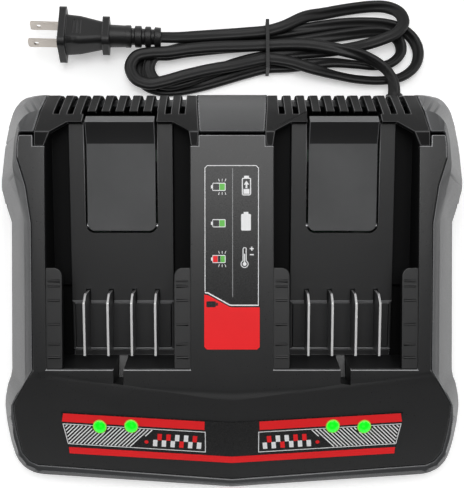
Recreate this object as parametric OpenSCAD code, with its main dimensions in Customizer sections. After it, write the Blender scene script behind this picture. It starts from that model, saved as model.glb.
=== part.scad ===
// Twin-bay battery charger for slide-on packs: a wedge-shaped housing with a mains cord.
// The front of the housing faces -Y, the table is z = 0 and the origin is the middle of the footprint.

/* [Housing] */
// Overall width of the housing
body_w = 251.4; // [250:0.2:255]
// Overall depth of the housing
body_d = 211.2; // [210:0.2:214]
// Height of the deck above the table at the middle of the housing
deck_z = 59.2; // [58.6:0.1:60]
// Slope of the deck down to the front
deck_tilt = 13; // [12.8:0.1:13.2]
// Slope of the band between the deck and the front face
brow_tilt = 30; // [28:0.5:32]
// Slope of the front face
face_tilt = 38; // [37.5:0.1:38.5]
// Sweep of each half of the front face back from the middle
face_sweep = 3.3; // [3:0.1:3.6]
// Distance of the deck's front edge ahead of the middle
brow_y = 55.4; // [55:0.1:56]
// Depth of the brow band, front to back
brow_run = 5.6; // [5:0.1:6]
// Height of the seam between the case and the surround at the middle
seam_z = 24; // [23.5:0.1:24.5]
// Rise of the seam toward the rear, per millimetre
seam_rise = 0.154; // [0.15:0.001:0.158]
// Wall thickness of the mouldings
wall = 2.4; // [2.2:0.1:2.6]
// Clearance at the seams between mouldings
seam_gap = 0.25; // [0.2:0.05:0.35]
// Front edge of the rear hump
hump_y = 71.2; // [71:0.1:71.6]
// Rear edge of the deck
deck_rear_y = 69.5; // [69:0.1:69.8]

/* [Battery bays] */
// Distance of each bay's middle from the housing's middle
bay_x = 57.2; // [57:0.1:57.5]
// Width of a bay between its side walls
bay_w = 72.6; // [72:0.1:73]
// Rear end of the bay
bay_rear_y = 80; // [79.5:0.1:80.5]
// Slope of the bay floor
floor_tilt = 18; // [17.8:0.1:18.2]
// Height of the bay floor's plane above the table at the middle of the housing
floor_z = 39.2; // [38.8:0.1:39.6]
// Width of the raised floor between the side channels
floor_w = 53.6; // [53:0.1:54]
// Depth of the side channels below the floor
channel_drop = 4; // [3.5:0.1:4.5]
// Depth of the front part of the side channels below the floor
channel_front_drop = 7.5; // [7:0.1:8]
// Reach of each rail from the bay's side wall
rail_reach = 8.1; // [7.9:0.1:8.3]
// Thickness of the rails
rail_t = 4; // [3.6:0.1:4.4]
// Rear end of the rails
rail_rear_y = 4.8; // [4:0.1:6]

/* [Battery catch] */
// Width of the catch flap
flap_w = 35.4; // [35:0.1:35.8]
// Clearance round the catch flap
flap_gap = 1.1; // [0.9:0.05:1.3]
// Front edge of the catch flap
flap_front_y = 26.4; // [26:0.1:27]
// Rear edge of the catch flap
flap_rear_y = 82.6; // [82:0.1:82.8]
// Height of the lip at the rear of the flap
lip_h = 4.6; // [4.2:0.1:5]
// Diameter of the hinge pins
pin_d = 3; // [2.8:0.1:3.2]
// Radial running clearance of the flap on its pin
pin_play = 0.06; // [0.04:0.01:0.1]

/* [Terminals] */
// Distance between neighbouring terminal blades
blade_pitch = 12.1; // [12:0.1:12.2]
// Thickness of a terminal blade
blade_t = 1.2; // [1.1:0.05:1.3]
// Length of a terminal blade along the floor
blade_l = 31.5; // [31:0.1:32]
// Height of a terminal blade above the floor
blade_h = 15; // [14:0.5:16]

/* [Vent grilles] */
// Number of slots in each grille
slot_count = 10; // [8:1:10]
// Distance between neighbouring slots
slot_pitch = 7.17; // [7:0.01:7.2]
// Width of a slot
slot_w = 2.9; // [2.5:0.1:3.2]
// Lower edge of the grilles on the rear wall
grille_foot_z = 31; // [30:0.5:32]

/* [Fastenings and feet] */
// Height of the screw bosses on the case floor
boss_z = 12; // [11.5:0.1:12.5]
// Diameter of a screw boss or post
post_d = 7.2; // [7:0.1:7.4]
// Diameter of the housing screws
screw_d = 3; // [2.9:0.1:3.1]
// Height of the case floor above the table
foot_h = 2; // [1.8:0.1:2.2]
// Diameter of a rubber foot
foot_d = 15; // [14:0.5:16]
// Height of the upper face of the main board's standoffs
board_z = 9.5; // [9.2:0.1:9.8]

/* [Mains cord] */
// Width of the flat cord
cord_w = 7.2; // [7:0.1:7.4]
// Thickness of the flat cord
cord_t = 3.6; // [3.4:0.1:3.8]
// Distance of the cord's exit from the middle
cord_x = 94; // [93.5:0.1:94.5]
// Height of the cord's exit above the table
cord_z = 13; // [12.8:0.1:13.4]
// Height of the tied hank of cord
hank_h = 11.4; // [10:0.1:12]
// Roll of the plug about its own axis
plug_roll = 48; // [46:1:50]
// Droop of the plug toward its cord
plug_tilt = 7; // [6:0.5:8]

/* [Hidden] */

$fn = 48;
eps = 0.01;
design_w = 251.4;
design_d = 211.2;
sx = body_w / design_w;
sy = body_d / design_d;
bay_mid = bay_x * sx;
hump_edge = hump_y * sy;
deck_rear = deck_rear_y * sy;
bay_end = bay_rear_y * sy;
lip_rear_y = flap_rear_y * sy;
exit_x = cord_x * sx;
brow_edge = brow_y * sy;
case_grey = "dimgray";
deck_black = "#26272a";

// Top surfaces. Each plane is [y, z, tilt, sweep] and passes through (0, y, z).
function deck_top(y) = deck_z + y * tan(deck_tilt);
brow_top_z = deck_top(-brow_edge);
crease_z = brow_top_z - brow_run * tan(brow_tilt);
deck_plane = [0, deck_z, deck_tilt, 0];
brow_plane = [-brow_edge, brow_top_z, brow_tilt, 2];
face_plane = [-brow_edge - brow_run, crease_z, face_tilt, face_sweep];
function plane_z(x, y, p) = p[1] + tan(p[2]) * (cos(p[3]) * (y - p[0]) - sin(p[3]) * abs(x));
function top_z(x, y) = min(deck_top(y), plane_z(x, y, brow_plane), plane_z(x, y, face_plane));
function bay_floor(y) = floor_z + y * tan(floor_tilt);
function seam(y) = seam_z + seam_rise * y;

// Stations round the left half of the housing, front tip to rear middle: [x, y] at the seam,
// [x, y, z] at the ridge and [x, y] at the deck's edge.
seam_keys = [
    [0, -105.6], [-104.5, -98.6], [-111, -95.6], [-115.5, -90.5], [-118.5, -82], [-121, -71],
    [-122.3, -60.5], [-120.8, -51.3], [-119.4, -47], [-118.8, -43], [-119.8, 35.2], [-123.5, 46],
    [-125.7, 54.5], [-123.8, 75], [-121.5, 87.5], [-119, 96], [-114, 102], [-106, 103.9], [0, 103.9]
];
ridge_keys = [
    [0, -104.2, 11.2], [-104, -96.4, 12.1], [-109.2, -93.8, 13.3], [-112.9,
        -88.8, 16.6], [-114.3, -78.6, 24.6],
    [-114.5, -68.6, 31.5], [-113.6, -62.7, 35.8], [-110, -57.2, 40.2], [-106, -53, 43.4],
    [-105, -48, 44.1], [-104.8, 29, 61.9], [-107.6, 41.5, 64.8], [-110.7, 54.5, 67.8], [-109.4, 68.5, 71.2],
    [-107.8, 76.5, 72.2], [-104.5, 83.5, 67.6], [-100, 86, 64.9], [-94, 86, 64.2], [0, 86, 64.2]
];
deck_keys = [
    [0, -101], [-103.5, -93.6], [-107.5, -91.6], [-111, -86.8], [-112.3, -76.5], [-112.6, -67.5],
    [-112, -62], [-108.2, -56.5], [-104.6, -51.6], [-100.4, -45.5], [-100.5, 27], [-103.2, 45],
    [-107.4, 58.5], [-107.2, 66], [-106.3, hump_y], [-104, hump_y], [-98,
        hump_y], [-92, hump_y], [0, hump_y]
];
first_rear_key = 15;
rear_knees = [[-112.5, 92.5, 51], [-108, 98, 50], [-101, 100.5, 49.2], [0, 100.5, 49]];

// A point of the lists moved to the housing's size, keeping its height against the deck.
function sized(p) = [p[0] * sx, p[1] * sy, p[2] + p[1] * (sy - 1) * tan(deck_tilt)];
function spots(list) = [for (p = list) [p[0] * sx, p[1] * sy]];
seam_half = [for (k = seam_keys) [k[0] * sx, k[1] * sy, seam(k[1] * sy)]];
ridge_half = [for (k = ridge_keys) sized(k)];
deck_half = [for (k = deck_keys) [k[0] * sx, k[1] * sy, top_z(k[0] * sx, k[1] * sy)]];
knee_half = [for (i = [0:len(seam_keys) - 1])
    i < first_rear_key ? (seam_half[i] + ridge_half[i]) / 2 : sized(rear_knees[i - first_rear_key])];
base_draft = 0.985;
base_rear = design_d / 2 / 103.9;
base_half = [for (p = seam_half) [p[0] * base_draft, p[1] * (p[1] > 0 ? base_rear : base_draft), foot_h]];

// A half outline made whole by its mirror image.
function whole(half) = concat(half, [for (i = [len(half) - 2:-1:1]) [-half[i][0], half[i][1], half[i][2]]]);
function flat(v) = [v[0], v[1]];
function inward(a, b) = let (e = flat(b) - flat(a), n = norm(e)) [e[1] / n, -e[0] / n];
// A closed outline moved in by d, level for level.
function inset(loop, d) = [for (i = [0:len(loop) - 1])
    let (n1 = inward(loop[(i + len(loop) - 1) % len(loop)], loop[i]),
        n2 = inward(loop[i], loop[(i + 1) % len(loop)]),
        m = (n1 + n2) / (1 + n1 * n2))
    [loop[i][0] + m[0] * d, loop[i][1] + m[1] * d, loop[i][2]]];
function lowered(loop, d) = [for (p = loop) [p[0], p[1], p[2] - d]];

seam_loop = whole(seam_half);
knee_loop = whole(knee_half);
ridge_loop = whole(ridge_half);
deck_loop = whole(deck_half);
base_loop = whole(base_half);

// Side faces between two loops of n points, cut along mirrored diagonals in the two halves of the loops.
function band(i, j, n) = [for (k = [0:n - 1])
    let (a = i * n + k, b = i * n + (k + 1) % n, c = j * n + k, d = j * n + (k + 1) % n)
        each k < n / 2 ? [[a, b, c], [b, d, c]] : [[a, b, d], [a, d, c]]];
module closed_skin(loops) {
    n = len(loops[0]);
    polyhedron([for (l = loops, p = l) p],
        [for (i = [0:len(loops) - 1], f = band(i, (i + 1) % len(loops), n)) f], 4);
}
// The same with its ends closed round the points [0, 0, low] and [0, 0, high].
module capped_skin(loops, low, high) {
    n = len(loops[0]);
    m = len(loops);
    polyhedron(concat([for (l = loops, p = l) p], [[0, 0, low], [0, 0, high]]),
        concat([for (k = [0:n - 1]) [m * n, (k + 1) % n, k]], [for (i = [0:m - 2], f = band(i, i + 1, n))
            f],
            [for (k = [0:n - 1]) [m * n + 1, (m - 1) * n + k, (m - 1) * n + (k + 1) % n]]), 4);
}

// Everything under the deck, brow and front face, lowered by drop along each plane's normal.
reach = 300;
module under_plane(p, side, drop) {
    translate([0, p[0], p[1] - drop / cos(p[2])]) rotate([0, 0, side * p[3]]) rotate([p[2], 0, 0])
        translate([-reach, -reach, -reach]) cube([2 * reach, 2 * reach, reach]);
}
module under_top(drop) {
    intersection() {
        under_plane(deck_plane, 1, drop);
        under_plane(brow_plane, -1, drop);
        under_plane(brow_plane, 1, drop);
        under_plane(face_plane, -1, drop);
        under_plane(face_plane, 1, drop);
    }
}
module outline_prism(loop) {
    translate([0, 0, -foot_h]) linear_extrude(sky) polygon([for (p = loop) flat(p)]);
}
// A side view polygon of [y, z] points made into a bar from x0 to x1.
module side_bar(points, x0, x1) {
    translate([x0, 0, 0]) rotate([90, 0, 90]) linear_extrude(x1 - x0) polygon(points);
}
// Frames that lie on the sloping surfaces: x across, y up the slope and z out of the surface.
module on_deck(y) { translate([0, y, deck_top(y)]) rotate([deck_tilt, 0, 0]) children(); }
module on_floor(x, y) { translate([x, y, bay_floor(y)]) rotate([floor_tilt, 0, 0]) children(); }
module on_face(side) {
    translate([0, face_plane[0], face_plane[1]]) rotate([0, 0, side * face_sweep]) rotate([face_tilt, 0, 0])
        children();
}

// Battery bay
bay_front_y = -45.2;
trench_y = [-36.2, -33.2];
trench_drop = 4;
block_y = [-32.4, -9.8];
step_y = -8.8;
step_drop = 1;
floor_t = wall + step_drop;
flap_half = flap_w / 2;
floor_half = floor_w / 2;
bay_half = bay_w / 2;
channel_step_y = 0;
sky = 110;
front_wall_top = [bay_front_y, deck_top(bay_front_y)];
module floor_pocket(x) {
    side_bar([
        [bay_end, sky], [bay_end, bay_floor(bay_end)], [step_y, bay_floor(step_y)],
        [step_y, bay_floor(step_y) - step_drop], [trench_y[1], bay_floor(trench_y[1]) - step_drop],
        [trench_y[1], bay_floor(trench_y[1]) - trench_drop], [trench_y[0],
            bay_floor(trench_y[0]) - trench_drop],
        [trench_y[0], bay_floor(trench_y[0])], front_wall_top, [bay_front_y - 3, sky]
    ], x - floor_half - eps, x + floor_half + eps);
}
module channel_profile(x0, x1) {
    side_bar([
        [bay_end, sky], [bay_end, bay_floor(bay_end) - channel_drop],
        [channel_step_y, bay_floor(channel_step_y) - channel_drop],
        [channel_step_y, bay_floor(channel_step_y) - channel_front_drop],
        [trench_y[0], bay_floor(trench_y[0]) - channel_front_drop], [trench_y[0], bay_floor(trench_y[0])],
        front_wall_top, [bay_front_y - 3, sky]
    ], x0, x1);
}
module bay_pocket(x) {
    floor_pocket(x);
    channel_profile(x - bay_half, x - floor_half);
    channel_profile(x + floor_half, x + bay_half);
}
// The bay's tub: its pocket's shape one wall thickness larger.
module tub_body(x) {
    w = wall;
    side_bar([
        [bay_end + w, sky], [bay_end + w, bay_floor(bay_end + w) - floor_t],
        [trench_y[1] + w, bay_floor(trench_y[1] + w) - floor_t],
        [trench_y[1] + w, bay_floor(trench_y[1]) - trench_drop - w],
        [trench_y[0] - w, bay_floor(trench_y[0]) - trench_drop - w],
        [trench_y[0] - w, bay_floor(trench_y[0])], [bay_front_y - w, deck_top(bay_front_y)],
            [bay_front_y - 3 - w, sky]
    ], x - floor_half - w, x + floor_half + w);
    for (s = [-1, 1]) tub_side(x, s);
}
module tub_side(x, s) {
    w = wall;
    x0 = x + s * (floor_half + bay_half) / 2 - (bay_half - floor_half) / 2 - w;
    side_bar([
        [bay_end + w, sky], [bay_end + w, bay_floor(bay_end) - channel_drop - w],
        [channel_step_y + w, bay_floor(channel_step_y + w) - channel_drop - w],
        [channel_step_y + w, bay_floor(channel_step_y) - channel_front_drop - w],
        [trench_y[0] - w, bay_floor(trench_y[0] - w) - channel_front_drop - w],
            [trench_y[0] - w, bay_floor(trench_y[0])],
        [bay_front_y - w, deck_top(bay_front_y)], [bay_front_y - 3 - w, sky]
    ], x0, x0 + bay_half - floor_half + 2 * w);
}
// Guide rails over the front half of a bay, with rounded rear ends.
module bay_rails(x) {
    for (s = [-1, 1]) translate([x + s * bay_half, 0, 0]) rail(s);
}
module rail(s) {
    top_drop = 0.8;
    r = rail_reach / 2;
    rail_l = (rail_rear_y - bay_front_y) / cos(deck_tilt) + 3;
    on_deck(rail_rear_y) translate([0, 0, -top_drop - rail_t]) linear_extrude(rail_t)
        mirror([s > 0 ? 1 : 0, 0])
        polygon(concat([[-1, -rail_l], [-1, 0]], [for (a = [90:-15:0]) [r + r * cos(a), -r + r * sin(a)]],
            [[2 * r, -rail_l]]));
    for (k = [6.6, 9.2, 16.4, 28.4, 38.4, 45.2])
        on_deck(rail_rear_y) translate([-s * r - 3, -k - 0.5, -top_drop - 0.2]) cube([6, 1, 0.6]);
}
flap_pin_y = 30;
flap_pin_z = bay_floor(flap_pin_y) - 5.6;
hinge_x = [20.4, 22.8];
lug_x = [12.2, 16.4];
module flap_opening(x) {
    translate([x, 0, 0]) on_floor(0, flap_front_y - flap_gap) linear_extrude(60, center = true)
        round_front(flap_w + 2 * flap_gap, 80, 5);
}
// A rectangle that starts at y = 0, is w wide and l long, with round front corners.
module round_front(w, l, r) {
    for (s = [-1, 1]) translate([s * (w / 2 - r), r]) circle(r);
    translate([-w / 2, r]) square([w, l - r]);
    translate([-w / 2 + r, 0]) square([w - 2 * r, 2 * r]);
}
module blade_offsets() {
    for (k = [-1.5:1:1.5]) translate([k * blade_pitch, 0, 0]) children();
}
blade_rear_y = -3.4;
block_screw_y = -2.6;

module post(x, y, z0) {
    translate([x, y, z0]) cylinder(h = 70, d = boss_d([x, y]));
}
module screw_hole(x, y, z0) {
    translate([x, y, z0 - 1]) cylinder(h = 13, d = screw_d + 0.1);
}
deck_posts = spots([[0, -38], [0, 63], [-62, -58], [62, -58]]);
surround_posts = spots([[-115.6, -64], [115.6, -64], [-112.2, 62], [112.2, 62]]);
corner_post_d = 6;
function boss_d(p) = abs(p[0]) > 110 * sx ? corner_post_d : post_d;

module deck_shell() {
    difference() {
        intersection() {
            outline_prism(inset(deck_loop, seam_gap));
            under_top(0);
        }
        intersection() {
            outline_prism(inset(deck_loop, seam_gap + wall));
            under_top(wall);
        }
        under_top(3.2);
    }
}
module deck_plan_cuts() {
    translate([-body_w / 2, deck_rear, 0]) cube([body_w, hump_edge, sky]);
    for (s = [-1, 1]) {
        translate([s * 96.4 * sx - 3.1, grille_tip_y, 0]) cube([6.2, hump_edge, sky]);
        translate([s * 18.9 * sx - 2.2, grille_tip_y, 0]) cube([4.4, hump_edge, sky]);
    }
}
// Places of the two lamps on each half of the front face, in the face's own frame.
led_spots = [[67.5, -20.4], [51.2, -18.9]];
led_d = 6.4;
led_bore = led_d + 0.1;
module at_leds(side) {
    for (p = led_spots) on_face(side) translate([side * p[0], p[1], 0]) children();
}
module deck() {
    color(deck_black) difference() {
        union() {
            difference() {
                deck_shell();
                deck_plan_cuts();
            }
            intersection() {
                for (p = deck_posts) post(p[0], p[1], boss_z);
                under_top(wall / 2);
            }
            led_board_posts();
        }
        for (x = [-bay_mid, bay_mid]) {
            bay_pocket(x);
            front_wall_notch(x);
        }
        for (p = deck_posts) screw_hole(p[0], p[1], boss_z);
        for (s = [-1, 1]) at_leds(s) translate([0, 0, -10]) cylinder(h = 20, d = led_bore);
    }
}
// The tray of one bay, which closes the deck's cut-out from below: floor, channels, walls and guide rails.
module bay_tray(x) {
    color(deck_black) difference() {
        union() {
            difference() {
                intersection() {
                    union() {
                        tub_body(x);
                        notch_housing(x);
                    }
                    under_top(wall);
                }
                grille_space(sign(x));
            }
            intersection() {
                bay_rails(x);
                bay_pocket(x);
            }
            hinge_brackets(x);
        }
        difference() {
            bay_pocket(x);
            bay_rails(x);
        }
        flap_opening(x);
        translate([x - 23, flap_pin_y, flap_pin_z]) rotate([0, 90, 0]) cylinder(h = 46, d = pin_d);
        block_opening(x);
        front_wall_notch(x);
    }
}
module bay_tray_left() { bay_tray(-bay_mid); }
module bay_tray_right() { bay_tray(bay_mid); }
module hinge_brackets(x) {
    for (s = [-1, 1]) translate([x + (s > 0 ? hinge_x[0] : -hinge_x[1]), 0, 0])
        side_bar([
            [flap_pin_y - 4, bay_floor(flap_pin_y - 4) - wall / 2], [flap_pin_y - 4, flap_pin_z - 1],
            [flap_pin_y - 1, flap_pin_z - 3.5], [flap_pin_y + 1, flap_pin_z - 3.5],
            [flap_pin_y + 4, flap_pin_z - 1], [flap_pin_y + 4, bay_floor(flap_pin_y + 4) - wall / 2]
        ], 0, hinge_x[1] - hinge_x[0]);
}
module block_opening(x) {
    translate([x - floor_half + 1.6, block_y[0], 0]) cube([floor_w - 3.2, block_y[1] - block_y[0], sky]);
    translate([x, 0, 0]) blade_offsets() on_floor(0, blade_rear_y) translate([-1.1, -12, -10])
        cube([2.2, 12.6, 20]);
    for (s = [-1, 1]) on_floor(x + s * blade_pitch, block_screw_y) translate([0, 0, -12])
        cylinder(h = 11, d = 2);
}
// The groove across the middle of the bay's front wall: level at first, then rising to the deck.
notch_w = 5;
notch_run = [-3, -7.2];
notch_z = bay_floor(trench_y[0]) + 0.4;
notch_side = [
    [trench_y[0] + 0.5, notch_z], [bay_front_y + notch_run[0], notch_z],
    [bay_front_y + notch_run[1], deck_top(bay_front_y + notch_run[1])]
];
module front_wall_notch(x) {
    side_bar(concat(notch_side, [[bay_front_y + notch_run[1] - 1, sky], [trench_y[0] + 0.5, sky]]),
        x - notch_w / 2, x + notch_w / 2);
}
module notch_housing(x) {
    side_bar([
        [trench_y[0] - wall, notch_z - wall], [notch_side[1][0] - wall / 2, notch_z - wall],
        notch_side[2] - [wall, 0], [notch_side[2][0], sky], [trench_y[0] - wall, sky]
    ], x - notch_w / 2 - wall, x + notch_w / 2 + wall);
}

module surround() {
    color(case_grey) difference() {
        union() {
            closed_skin([
                seam_loop, knee_loop, ridge_loop, deck_loop,
                [for (i = [0:len(deck_loop) - 1]) deck_loop[i] - [0, 0,
                    min(3, 0.6 * (deck_loop[i][2] - seam_loop[i][2]))]],
                [for (i = [0:len(deck_loop) - 1])
                    let (p = deck_loop[i] * 0.25 + ridge_loop[i] * 0.75, z = ridge_loop[i][2])
                        [p[0], p[1], z - min(2.6, 0.6 * (z - seam_loop[i][2]))]],
                lowered(inset(knee_loop, wall), 0.8),
                on_seam(inset(seam_loop, wall))
            ]);
            intersection() {
                union() {
                    for (p = surround_posts) post(p[0], p[1], boss_z);
                    rear_bridge();
                }
                outer_form(0.8);
            }
        }
        for (s = [-1, 1]) grille_bed(s);
        for (p = surround_posts) screw_hole(p[0], p[1], boss_z);
    }
}
// The housing's outer shape as one solid, moved in by d, for trimming what is built inside it.
module outer_form(d) {
    capped_skin([lowered(inset(seam_loop, d), 40), inset(seam_loop, d), inset(knee_loop, d),
        lowered(inset(ridge_loop, d), d), lowered(inset(deck_loop, d), d)], -20, deck_z - d);
}

// The bar behind the grilles that ties the hump's middle panel to its corners.
bridge_y = 101 * sy;
bridge_t = 4;
bridge_low = seam(bridge_y) - 5.5;
bridge_top = seam(bridge_y) + 0.5;
bridge_half = 104 * sx;
upright_w = 4.5;
module rear_bridge() {
    y = bridge_y - bridge_t;
    z = bridge_top + 7.5;
    side_bar([[y, bridge_low], [bridge_y, bridge_low], [bridge_y, bridge_top], [y, bridge_top]],
        -bridge_half, bridge_half);
    for (x = [[-bridge_half, upright_w - bridge_half], [-15, 15], [bridge_half - upright_w, bridge_half]])
        side_bar([
            [y, bridge_top - 1], [bridge_y, bridge_top - 1], [bridge_y, bridge_top + 0.8],
            [bridge_y + wall, bridge_top + 1.2], [bridge_y + wall, z], [y, z]
        ], x[0], x[1]);
}

// Grilles
grille_t = 3.1;
grille_tip_y = 64.2 * sy;
function rearward(list) = [for (p = list) let (q = sized([0, p[0], p[1]])) [q[1], q[2]]];
grille_top = concat([[grille_tip_y, deck_top(grille_tip_y)], [hump_edge, deck_top(hump_edge)]],
    rearward([[86, 63.9], [100.3, 48.8], [103.6, 39.7]]), [[104 * sy, grille_foot_z]]);
grille_under = concat([[bridge_y, grille_foot_z]], rearward([[101, 42.5], [98.2, 46.4], [84.6, 61.4]]),
    [[hump_edge - 0.6, deck_top(hump_edge) - grille_t], [grille_tip_y, deck_top(grille_tip_y) - grille_t]]);
lip_recess = [bay_mid - 18.9, bay_mid + 18.9];
lip_recess_y = [78.2 * sy, 85.6 * sy];
// Plan of a grille, for the right half.
far_y = 115 * sy;
// Front edge of a grille from its outer tip round the bay's mouth to its inner tip.
grille_front = [
    [93.9 * sx, grille_tip_y], [91 * sx, hump_edge], [83.5 * sx, lip_recess_y[0]],
        [30.1 * sx, lip_recess_y[0]],
    [21.5 * sx, hump_edge + 0.6], [20.4 * sx, grille_tip_y]
];
grille_plan = concat([[98.7 * sx, grille_tip_y]], [for (k = [0:2]) grille_front[k]], [
    [lip_recess[1], lip_recess_y[0]], [lip_recess[1], lip_recess_y[1]],
    [lip_recess[0], lip_recess_y[1]], [lip_recess[0], lip_recess_y[0]]
], [for (k = [3:5]) grille_front[k]], [
    [17.2 * sx, grille_tip_y], [16.6 * sx, hump_edge], [19 * sx, bridge_y], [19 * sx, far_y],
    [98.6 * sx, far_y], [98.6 * sx, hump_edge]
]);
module grille_prism(points, drop) {
    translate([0, 0, grille_foot_z - drop]) linear_extrude(sky) polygon(points);
}
module grille_blank(s) {
    mirror([s < 0 ? 1 : 0, 0, 0]) intersection() {
        side_bar(concat(grille_top, grille_under), 0, body_w / 2);
        grille_prism(grille_plan, 0);
    }
}
// All that lies at or above a grille's underside, for ending the tubs below it.
module grille_space(s) {
    mirror([s < 0 ? 1 : 0, 0, 0]) intersection() {
        side_bar(concat([[grille_tip_y, sky], [far_y, sky], [far_y, grille_foot_z]],
            grille_under), 0, body_w / 2);
        grille_prism(concat([[99 * sx, grille_tip_y]], grille_front,
            [[16 * sx, grille_tip_y], [16 * sx, far_y], [99 * sx, far_y]]), 0);
    }
}
module grille_bed(s) {
    mirror([s < 0 ? 1 : 0, 0, 0]) difference() {
        grille_prism([[98.9 * sx, grille_tip_y - 4], [98.9 * sx, far_y],
            [18.8 * sx, far_y], [18.8 * sx, bridge_y],
            [16.4 * sx, hump_edge], [16.4 * sx, grille_tip_y - 4]], 0.2);
        cube([body_w / 2, bridge_y, bridge_top]);
    }
}
slot_front_y = 84 * sy;
slots_mid = 57.95 * sx;
module grille(s) {
    color(deck_black) difference() {
        grille_blank(s);
        for (k = [0:slot_count - 1])
            translate([s * slots_mid + (k - (slot_count - 1) / 2) * slot_pitch - slot_w / 2,
                slot_front_y, grille_foot_z + 2])
                cube([slot_w, 30, sky]);
    }
}
module grille_left() { grille(-1); }
module grille_right() { grille(1); }

// Bottom case
function on_seam(loop) = [for (p = loop) [p[0], p[1], seam(p[1])]];
foot_spots = spots([[-92, -74], [92, -74], [-92, 82], [92, 82]]);
pilot_z = foot_h + wall + 0.4;
clamp_y = 84 * sy;
clamp_screw_x = 7;
board_screw_y = [-22 * sy, clamp_y - 20];
board_spots = [for (y = board_screw_y, s = [-1, 1]) [s * 70 * sx, y]];
seam_step = 0.3;
pocket_x = [exit_x - 10, exit_x + 10];
pocket_z = [5, 23];
pocket_y = 93 * sy;
relief_y = [pocket_y - wall, pocket_y - wall + 23.4];
module bottom_case() {
    color("#2b2c2f") difference() {
        union() {
            difference() {
                capped_skin([base_loop, on_seam(inset(seam_loop, seam_step))], foot_h, seam_z);
                capped_skin([lowered(inset(base_loop, wall + seam_step), -wall),
                    lowered(on_seam(inset(seam_loop, wall + seam_step)), -1)], foot_h + wall, seam_z + 1);
                for (s = [-1, 1]) grille_notch(s);
            }
            for (p = concat(deck_posts, surround_posts)) translate([p[0], p[1], foot_h + wall / 2])
                cylinder(h = boss_z - foot_h - wall / 2, d = boss_d(p));
            for (p = surround_posts) translate([p[0], p[1], foot_h + wall / 2])
                cylinder(h = head_recess + wall, d = head_d + 2.8);
            for (p = board_spots) translate([p[0], p[1], foot_h + wall / 2])
                cylinder(h = board_z - foot_h - wall / 2, d = post_d);
            cord_pocket_wall();
            at_clamp_screws(foot_h + wall / 2) cylinder(h = clamp_z - foot_h - wall / 2, d = corner_post_d);
        }
        for (p = concat(deck_posts, surround_posts)) translate([p[0], p[1], 0]) {
            translate([0, 0, -1]) cylinder(h = 30, d = screw_d + 0.4);
            translate([0, 0, -1]) cylinder(h = 1 + foot_h + head_recess, d = head_d + 0.6);
        }
        for (p = board_spots) translate([p[0], p[1], pilot_z]) cylinder(h = 10, d = board_screw_d);
        for (p = foot_spots) translate([p[0], p[1], 0]) cylinder(h = foot_h + 1, d = foot_d);
        cord_pocket();
        at_clamp_screws(pilot_z) cylinder(h = 20, d = board_screw_d);
        for (s = [-1, 1], k = [0:5]) translate([s * 40 - 16, -8 + k * 10, 0])
            cube([32, 3, foot_h + 2 * wall]);
    }
}
board_screw_d = 2.3;
module at_clamp_screws(z) {
    for (s = [-1, 1]) translate([exit_x + s * clamp_screw_x, clamp_y, z]) children();
}
head_recess = 2.6;
head_d = 5.6;
module grille_notch(s) {
    mirror([s < 0 ? 1 : 0, 0, 0]) translate([18.8 * sx, bridge_y - 6, grille_foot_z - 0.2])
        cube([(98.9 - 18.8) * sx, 20, sky]);
}
module cord_pocket_wall() {
    translate([pocket_x[0] - wall, pocket_y - wall, foot_h + wall / 2])
        cube([pocket_x[1] - pocket_x[0] + 2 * wall, bridge_y + 3 - pocket_y + wall,
            pocket_z[1] + wall / 2 - foot_h]);
}
module cord_pocket() {
    translate([pocket_x[0], pocket_y, pocket_z[0]])
        cube([pocket_x[1] - pocket_x[0], 30, pocket_z[1] - pocket_z[0]]);
    translate([exit_x, pocket_y - wall - 1, cord_z]) rotate([-90, 0, 0])
        cylinder(h = 10, d = relief_neck_d);
}
relief_neck_d = 9;
clamp_z = cord_z - cord_t / 2;
clamp_t = 2.4;

// Cord fittings at the case: a ribbed relief with a groove that grips the pocket's wall.
module cord_strain_relief() {
    color("black") difference() {
        translate([exit_x, relief_y[0], cord_z]) rotate([-90, 0, 0]) rotate_extrude() polygon([
            [0, -2.4], [5.6, -2.4], [5.6, 0], [relief_neck_d / 2, 0],
                [relief_neck_d / 2, wall], [6.4, wall],
            [6.4, wall + 2], [5.2, wall + 2], [5.1, wall + 4], [5.9, wall + 4],
                [5.8, wall + 6], [5, wall + 6],
            [4.9, wall + 8], [5.6, wall + 8], [5.5, wall + 10], [4.7,
                wall + 10], [4.6, wall + 12], [5.3, wall + 12],
            [5.2, wall + 14], [4.5, wall + 14], [4.4, wall + 16], [5,
                wall + 16], [4.9, relief_y[1] - relief_y[0]],
            [0, relief_y[1] - relief_y[0]]
        ]);
        translate([exit_x - cord_w / 2, wire_end_y, cord_z - cord_t / 2])
            cube([cord_w, stub_end_y - wire_end_y, cord_t]);
    }
}
module cord_clamp() {
    color("black") difference() {
        translate([exit_x - 10, clamp_y - 3, clamp_z + cord_t]) cube([20, 6, clamp_t]);
        at_clamp_screws(0) cylinder(h = 40, d = 2.6);
    }
    color("black") at_clamp_screws(clamp_z) difference() {
        cylinder(h = cord_t, d = 5);
        translate([0, 0, -1]) cylinder(h = 10, d = 2.6);
    }
}
module small_screw(l, d, head, head_h) {
    cylinder(h = head_h, d = head);
    translate([0, 0, -l]) cylinder(h = l + eps, d = d);
}
module clamp_screws() {
    color("silver") at_clamp_screws(clamp_z + cord_t + clamp_t) small_screw(8, 2.2, 4.4, 1.6);
}
module housing_screws() {
    color("silver") for (p = concat(deck_posts, surround_posts)) translate([p[0],
        p[1], foot_h + head_recess])
        rotate([180, 0, 0]) difference() {
            small_screw(14, screw_d, head_d, 2.2);
            translate([-2, -0.4, 1.4]) cube([4, 0.8, 2]);
            translate([-0.4, -2, 1.4]) cube([0.8, 4, 2]);
        }
}
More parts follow.
